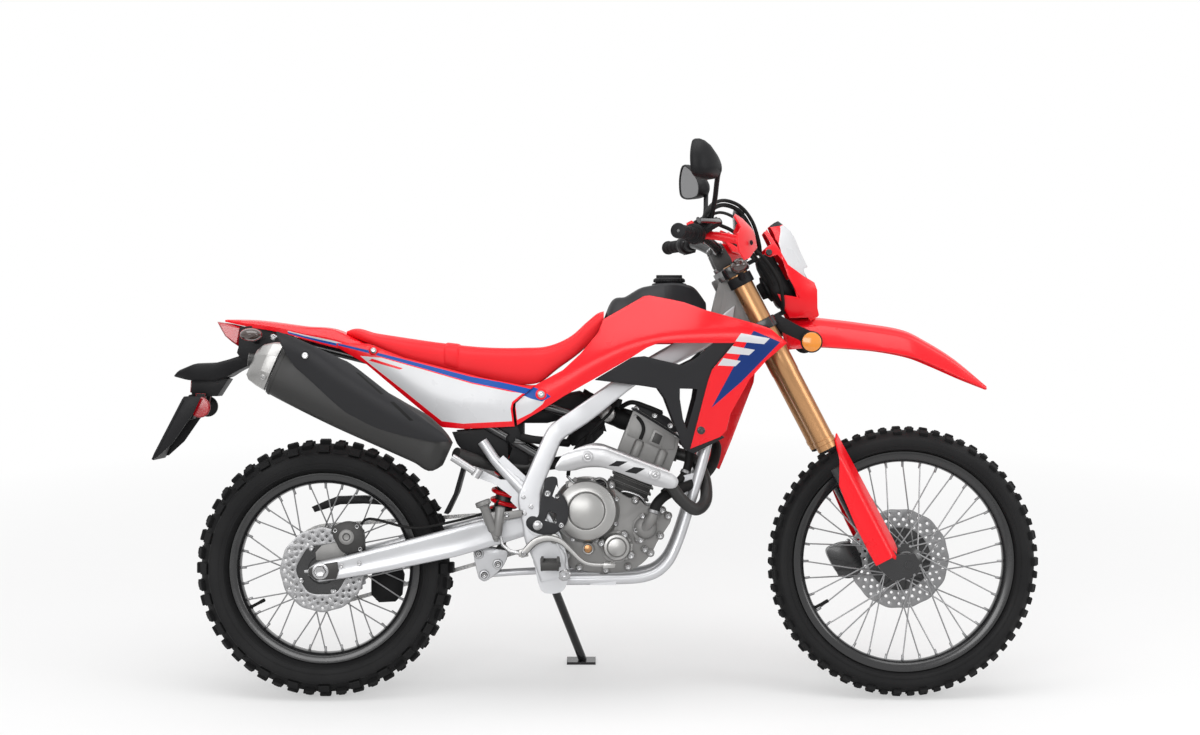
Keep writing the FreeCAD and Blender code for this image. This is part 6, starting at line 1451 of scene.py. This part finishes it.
# Rear master cylinder, its cap and rod
feet.boss((407, -146, 486), [(16, -16), (19, -15), (19, -4), (15, -2), (12, 2), (12, 60), (10, 64), (8, 66), (8, 84)],
    28, 3, way=(0.35, 0, -0.94))
feet.boss((444, -146, 470), [(11, -16), (12, -14), (12, 52), (9, 56), (6, 58), (6, 70)], 28, 3, way=(-0.12, 0, -1))
feet.prism([(400, 470), (452, 476), (456, 446), (410, 440)], -152, -136, 3)
feet.prism([(450, 452), (500, 462), (500, 478), (452, 474)], -150, -140, 3)
feet.tube([(447, -146, 410), (452, -150, 392), (470, -158, 378), (496, -163, 372)], 4.5, 12, 1)
feet.bolt((462, -150, 466), 5, 4, 1)
# Gear lever on the left
feet.tube(curve([(690, 150, 345), (716, 153, 336), (740, 156, 329), (770, 157, 334), (794, 158, 342)], 24),
    np.linspace(7.5, 6, 24), 14, 2)
feet.boss((690, 89, 345), [(8, 0), (8, 52), (13, 54), (13, 70), (10, 72)], 24, 2, way=toLeft)
feet.lathe((792, 146, 341), toLeft, [(5, 0), (7.6, 1), (7.6, 4), (6.8, 5), (7.6, 6), (7.6, 32), (6, 35), (0.01, 36)],
    20, 4)
feet.piece("footControls", ["grey", "chrome", "castBright", "cast", "rubber"], "alloy", ["foot_controls"],
    bevel=(0.9, 50))

# Rider pegs: toothed cleats on a hinge, spring round the pin
pegs = Solid()
for side in (-1, 1):
    pegs.prism([(x + 569, z + 349) for x, z in ((-24, 12), (24, 12), (24, -2), (18, -9), (-18, -9), (-24, -2))],
        side * 163, side * 168)
    for x in (548, 587):
        pegs.slab((x, 337), (x + 5, 361), side * 163, side * 256)
    for y in np.linspace(176, 254, 6):
        pegs.slab((550, 338), (590, 356), side * y, side * (y + 3.2))
    pegs.slab((548, 340), (592, 358), side * 254, side * 258)
    # Teeth along both rails
    for x in (547.5, 586.5):
        saw = [(170 + 12 * (k // 2) + (6 if k % 2 else 0), 367 if k % 2 else 360) for k in range(15)]
        pegs.prism([(side * y, z) for y, z in [(170, 354)] + saw + [(254, 354)]][:: side], x, x + 6, 0, "yz")
    pegs.tube([(569, side * 126, 345), (569, side * 164, 345)], [13, 11], 18)
    pegs.boss((545, side * 152, 344), [(6, 0), (6, 50)], 16, way=toFront)
    coil = np.linspace(0, 10 * pi, 120)
    pegs.tube(columns(552 + coil * 0.9, side * 152 + 8.6 * np.cos(coil), 344 + 8.6 * np.sin(coil)), 1.5, 6, 1)
pegs.piece("riderPegs", ["castDark", "steel"], "steel", ["rider_pegs"], bevel=(0.5, 55))
print("foot controls")

# Shock: coil round a damper, with its reservoir; linkage below
shock = Solid()
low, high = np.array([446, 0, 470]), np.array([467, 0, 622])
shockWay = unit(high - low)
shockSide = np.cross(shockWay, toLeft)
coil = np.linspace(0, 2 * pi * 6.5, 320)
rise = np.linspace(0, np.linalg.norm(high - low), 320)
coilTurn = np.outer(np.cos(coil), shockSide) + np.outer(np.sin(coil), toLeft)
shock.tube(low + np.outer(rise, shockWay) + 30 * coilTurn, 5.6, 10, 1)
shock.boss(low, [(9, -90), (9, -14), (34, -12), (36, -8), (36, -2), (24, 0), (22, 60), (22, 150), (36, 152),
    (37, 156), (37, 164), (26, 166), (24, 178)], 40, way=shockWay)
shock.lathe((470, -22, 652), toLeft, [(14, 0), (21, 1), (21, 43), (14, 44)], 30)
shock.lathe((444, -20, 366), toLeft, [(8, 0), (17, 1), (17, 39), (8, 40)], 26)
shock.prism([(436, 366), (452, 366), (456, 400), (434, 400)], -16, 16)
shock.lathe((501, 54, 518), (0.07, 0, 1), [(14, 0), (20, 5), (20, 86), (17, 92), (0.01, 93)], 30)
shock.tube([(466, 18, 600), (484, 36, 602), (500, 52, 598)], 8, 12)
linkLine = curve([(374, 366), (386, 378), (430, 374), (458, 368), (457, 348), (442, 322), (408, 294), (392, 296),
    (384, 310)], 40, True)
for y in (-28, 20):
    shock.prism(linkLine, y, y + 8, 2)
for x, z in ((387, 361), (435, 335), (401, 308)):
    shock.lathe((x, -31, z), toLeft, [(10, 0), (13, 1), (13, 61), (10, 62)], 24, 2)
    shock.bolt((x, -31, z), 7, 6, 3)
for y in (-17, 9):
    shock.tube([(401, y + 4, 308), (488, y + 4, 314), (574, y + 4, 318)], 8, 14, 2)
shock.piece("rearSuspension", ["castDark", "red", "silver", "chrome"], "alloy", ["rear_suspension"], bevel=(0.8, 55))

# Intake: box with its side panel, mud flap, throttle body, hoses and clamps
intake = Solid()
intake.loft([crownRing(x, h, lo, hi, 12, 3, h * 0.94) for x, h, lo, hi in ((352, 58, 692, 726), (380, 64, 690, 742),
    (470, 64, 690, 742), (560, 62, 690, 744), (600, 58, 700, 760), (640, 52, 716, 768), (652, 44, 728, 762))])
panelLine = [(324, 669), (400, 676), (486, 684), (494, 664), (500, 640), (516, 610), (514, 590), (500, 560),
    (482, 552), (448, 556), (420, 580), (386, 604), (352, 620), (336, 640)]
sidePanel = sheetMesh(panelLine, lambda p: columns(p[:, 0], -96 + 0.12 * soft(640 - p[:, 1], 10), p[:, 1]), 4, [],
    [[(462, 650), (474, 628), (464, 600)]], 8)
intake.add(*sidePanel[:2]).mirror()
intake.prism([(606, 648), (628, 684), (668, 706), (706, 708), (700, 664), (676, 640), (622, 632)], -40, -6)
intake.lathe((650, -44, 650), toLeft, [(10, 0), (24, 2), (24, 70), (10, 72)], 28)
for y in (-1, 1):
    intake.bolt((431, y * 96, 669), 6.5, 4, 1, way=(0, y, 0))
    intake.prism([(400, 640), (500, 600), (500, 690), (392, 690)], y * 30, y * 62)
flapLine = [(352, 694), (362, 694), (360, 600), (336, 512), (312, 462), (301, 465), (326, 514), (351, 602)]
intake.prism(flapLine, -60, 60)
intake.tube(curve([(640, 0, 748), (672, 0, 734), (706, 0, 716), (742, 0, 702), (776, 0, 692)], 24),
    [30, 30, 29, 28, 28, 26, 26, 26, 25, 25, 25, 25, 25, 25, 25, 25, 25, 26, 27, 27, 27, 27, 27, 27], 28, 2)
intake.lathe((708, -28, 713), toRight, [(22, 0), (22, 8), (19, 10), (19, 16), (12, 18), (12, 24), (0.01, 25)], 30, 3)
intake.boss((708, 28, 713), [(22, 0), (22, 10), (16, 12)], 30, 3, way=toLeft)
intake.prism([(716, 734), (744, 728), (748, 748), (722, 756)], -34, -14)
intake.prism([(686, 690), (704, 684), (708, 668), (692, 672)], -40, -20)
hoses = [
    ([(823, -124, 468), (832, -122, 492), (856, -113, 514), (896, -94, 530), (938, -52, 546), (975, 10, 582),
        (988, 60, 626), (976, 100, 640)], 13),
    ([(900, -60, 660), (912, -52, 636), (916, -48, 610), (908, -56, 572), (892, -68, 548), (866, -80, 528),
        (850, -90, 516)], 11),
    ([(612, -60, 640), (572, -96, 646), (530, -110, 650), (498, -100, 656)], 10),
    ([(700, -40, 690), (668, -70, 664), (640, -84, 640), (618, -80, 600), (612, -74, 560)], 5),
    ([(744, -30, 730), (772, -58, 742), (812, -64, 730), (846, -62, 716)], 6),
    ([(730, -46, 740), (716, -80, 716), (690, -92, 690), (664, -86, 660), (650, -70, 610)], 4),
    ([(694, -36, 700), (676, -62, 700), (650, -86, 712), (612, -94, 700), (590, -92, 670)], 5),
    ([(760, -44, 720), (790, -70, 700), (800, -74, 676), (792, -72, 650)], 4.5),
]
for route, radius in hoses:
    intake.tube(curve(route, 40), radius, 16 if radius > 8 else 10, 4)
for spot, way, radius in (((824, -124, 473), (0.3, 0.05, 0.95), 14.2), ((914, -50, 628), (0.1, 0.1, -1), 12.4),
        ((905, -59, 566), (-0.4, -0.3, -0.8), 12.4), ((778, 0, 691), (0.9, 0, -0.35), 28.6)):
    intake.lathe(spot, way, [(radius - 1.5, -4), (radius + 1, -4), (radius + 1, 4), (radius - 1.5, 4)], 30, 5)
intake.piece("intakeAndHoses", ["black", "chrome", "rubber", "castBright", "rubber", "steel"], "black_plastic",
    ["airbox"], bevel=(1, 55))

# Radiator: finned core between two tanks, behind its louvred guard
core = Solid()
core.prism([(950, 848), (990, 848), (990, 866), (984, 872), (956, 872), (950, 866)], 92, 148)
core.prism([(950, 650), (990, 650), (990, 634), (984, 628), (956, 628), (950, 634)], 92, 148)
for z in np.arange(653, 848, 3.4):
    core.slab((956, z), (984, z + 1.3), 93, 147, 1)
for y in np.linspace(94, 143, 7):
    core.slab((959, 650), (981, 850), y, y + 2.4, 1)
for z in np.arange(664, 846, 18):
    core.prism([(990, z), (993, z + 1), (987, z + 10), (984, z + 9)], 92, 148)
for y in (92, 145):
    core.slab((952, 648), (988, 850), y, y + 3)
core.boss((970, 120, 872), [(14, 0), (14, 5), (18, 6), (18, 12), (15, 14)], 24, 2, way=upward)
core.piece("radiator", ["blackPaint", "castDark", "chrome"], "frame_dark", ["radiator"])

# Upper and lower clamps and fork tubes
clampHalf = [(-22, -10), (-12, -50), (-6, -77), (-2, -116), (4, -136), (20, -143), (44, -139), (58, -118), (58, -98),
    (52, -79), (40, -40), (30, -10)]
clampLine = clampHalf + [(u, -v) for u, v in clampHalf[::-1]]
forks = Solid(steer)
for low in (-78, 76):
    forks.prism(clampLine, low, low + 26, 0, "xy")
    for v in (-107, 107):
        for up in (8, 19):
            forks.bolt((58, v * 93 / 107, low + up), 5, 5, 1, way=toFront)
        forks.lathe((26, v, low), upward, [(26.2, -1), (33, 0), (34, 3), (34, 23), (33, 26), (26.2, 27)], 40)
forks.boss((0, 0, 100), [(15, 0), (19, 2), (19, 12), (14, 14)], 6, 1, way=upward)
forks.boss((0, 0, -78), [(15, -4), (18, 0), (18, 6)], 30, way=downward)
forks.piece("forkClamps", ["blackPaint", "chrome"], "frame_dark", ["triple_clamps"], bevel=(1.5, 50))
tubes = Solid(steer)
for v in (-107, 107):
    tubes.lathe((26, v, 0), upward, [(24, -411), (26, -410), (26, -397), (27.5, -396), (27.5, -385), (26, -384),
        (26, -200), (27, -196), (27, -110), (26, -106), (26, 103), (24.5, 105)], 48)
    tubes.boss((26, v, 100), [(24, 0), (24, 6), (20, 8), (12, 8), (12, 5)], 40, 1, way=upward)
    tubes.lathe((26, v, -411), upward, [(20, -6), (25, -4), (25, 1), (20, 2)], 40, 2)
tubes.piece("forkTubes", ["gold", "blackPaint", "rubber"], "gold", ["fork_tubes"], sharp=30)
print("suspension and intake")

# CAD nodes that show as they are take a finish
finishes = {"subframe": "blackPaint", "fork_legs": "blackPaint", "side_stand": "blackPaint", "peg_hangers": "silver",
    "pillion_peg_right": "alloy", "pillion_peg_left": "alloy"}
for label, material in finishes.items():
    nodes[label].data.materials.clear()
    nodes[label].data.materials.append(mats[material])

# Floor, light and camera; a lamp is (place, target, size, watts), the camera stands at the photo's own place
studioKnobs = {
    "worldLight": 0.45, "floorNear": 0.45,
    "lamps": {
        "overhead": ((0, -0.6, 4.6), (0, 0, 0.5), (6, 3), 170),
        "side": ((-1.5, -5.2, 2.6), (0, 0, 0.7), (4, 2), 115),
        "front": ((4.5, -2.5, 2.2), (0.4, 0, 0.7), (2, 2), 50),
    },
    "camera": (0.6915, -6, 0.829), "focalPixels": 2378, "photoWidth": 1200,
}
floorMesh = bpy.data.meshes.new("floor")
floorMesh.from_pydata([(-60, -30, 0), (60, -30, 0), (60, 90, 0), (-60, 90, 0)], [], [(0, 1, 2, 3)])
floorMesh.materials.append(finish("floor", (0.84, 0.84, 0.84), (0.5, 0.6), grain=0.02, shade=0.995, specular=0.1))
# To the camera the floor is part shaded, so that it keeps the shadow, and plain white further off
tree = floorMesh.materials[0].node_tree
kinds = "LightPath", "TexCoord", "VectorMath", "MapRange", "Math", "Emission", "MixShader"
rays, coords, away, ramp, share, glow, mix = (shaderNode(tree, kind) for kind in kinds)
away.operation, share.operation = "LENGTH", "MULTIPLY"
tune(ramp, {"From Min": 1.3, "From Max": 3.2, "To Min": studioKnobs["floorNear"], "To Max": 1})
wire(tree, (coords, "Object", away, 0), (away, "Value", ramp, "Value"), (ramp, "Result", share, 0),
    (rays, "Is Camera Ray", share, 1), (share, "Value", mix, "Fac"), (tree.nodes["Principled BSDF"], "BSDF", mix, 1),
    (glow, "Emission", mix, 2), (mix, "Shader", tree.nodes["Material Output"], "Surface"))
newObject("floor", floorMesh)
# The world looks full white to the camera and in reflections and clear parts, and lights with less
world = bpy.data.worlds.new("studio")
bpy.context.scene.world = world
world.use_nodes = True
tree = world.node_tree
dim, kinds = tree.nodes["Background"], ("Background", "MixShader", "LightPath", "Math", "Math")
bright, mix, rays, either, seen = (shaderNode(tree, kind) for kind in kinds)
for node, strength in ((dim, studioKnobs["worldLight"]), (bright, 1)):
    tune(node, {"Color": (1, 1, 1, 1), "Strength": strength})
either.operation = seen.operation = "MAXIMUM"
wire(tree, (rays, "Is Camera Ray", either, 0), (rays, "Is Glossy Ray", either, 1), (either, "Value", seen, 0),
    (rays, "Is Transmission Ray", seen, 1), (seen, "Value", mix, "Fac"), (dim, "Background", mix, 1),
    (bright, "Background", mix, 2), (mix, "Shader", tree.nodes["World Output"], "Surface"))
for name, (at, target, size, power) in studioKnobs["lamps"].items():
    light = bpy.data.lights.new(name, "AREA")
    light.shape, light.size, light.size_y, light.energy = "RECTANGLE", *size, power
    lamp = newObject(name, light)
    lamp.location = at
    lamp.rotation_euler = (Vector(target) - Vector(at)).to_track_quat("-Z", "Y").to_euler()
camera = newObject("camera", bpy.data.cameras.new("camera"))
camera.data.sensor_width = 36
camera.data.lens = studioKnobs["focalPixels"] / studioKnobs["photoWidth"] * 36
leanMatrix = Matrix.Translation(Vector(base)) @ Matrix([[*r, 0] for r in lean] + [[0, 0, 0, 1]])
camera.matrix_world = leanMatrix @ Matrix.Translation(studioKnobs["camera"]) @ Matrix.Rotation(pi / 2, 4, "X")
camera.data.clip_end = 300
bpy.context.scene.camera = camera
bpy.context.scene.view_settings.view_transform = "Standard"

print("scene")
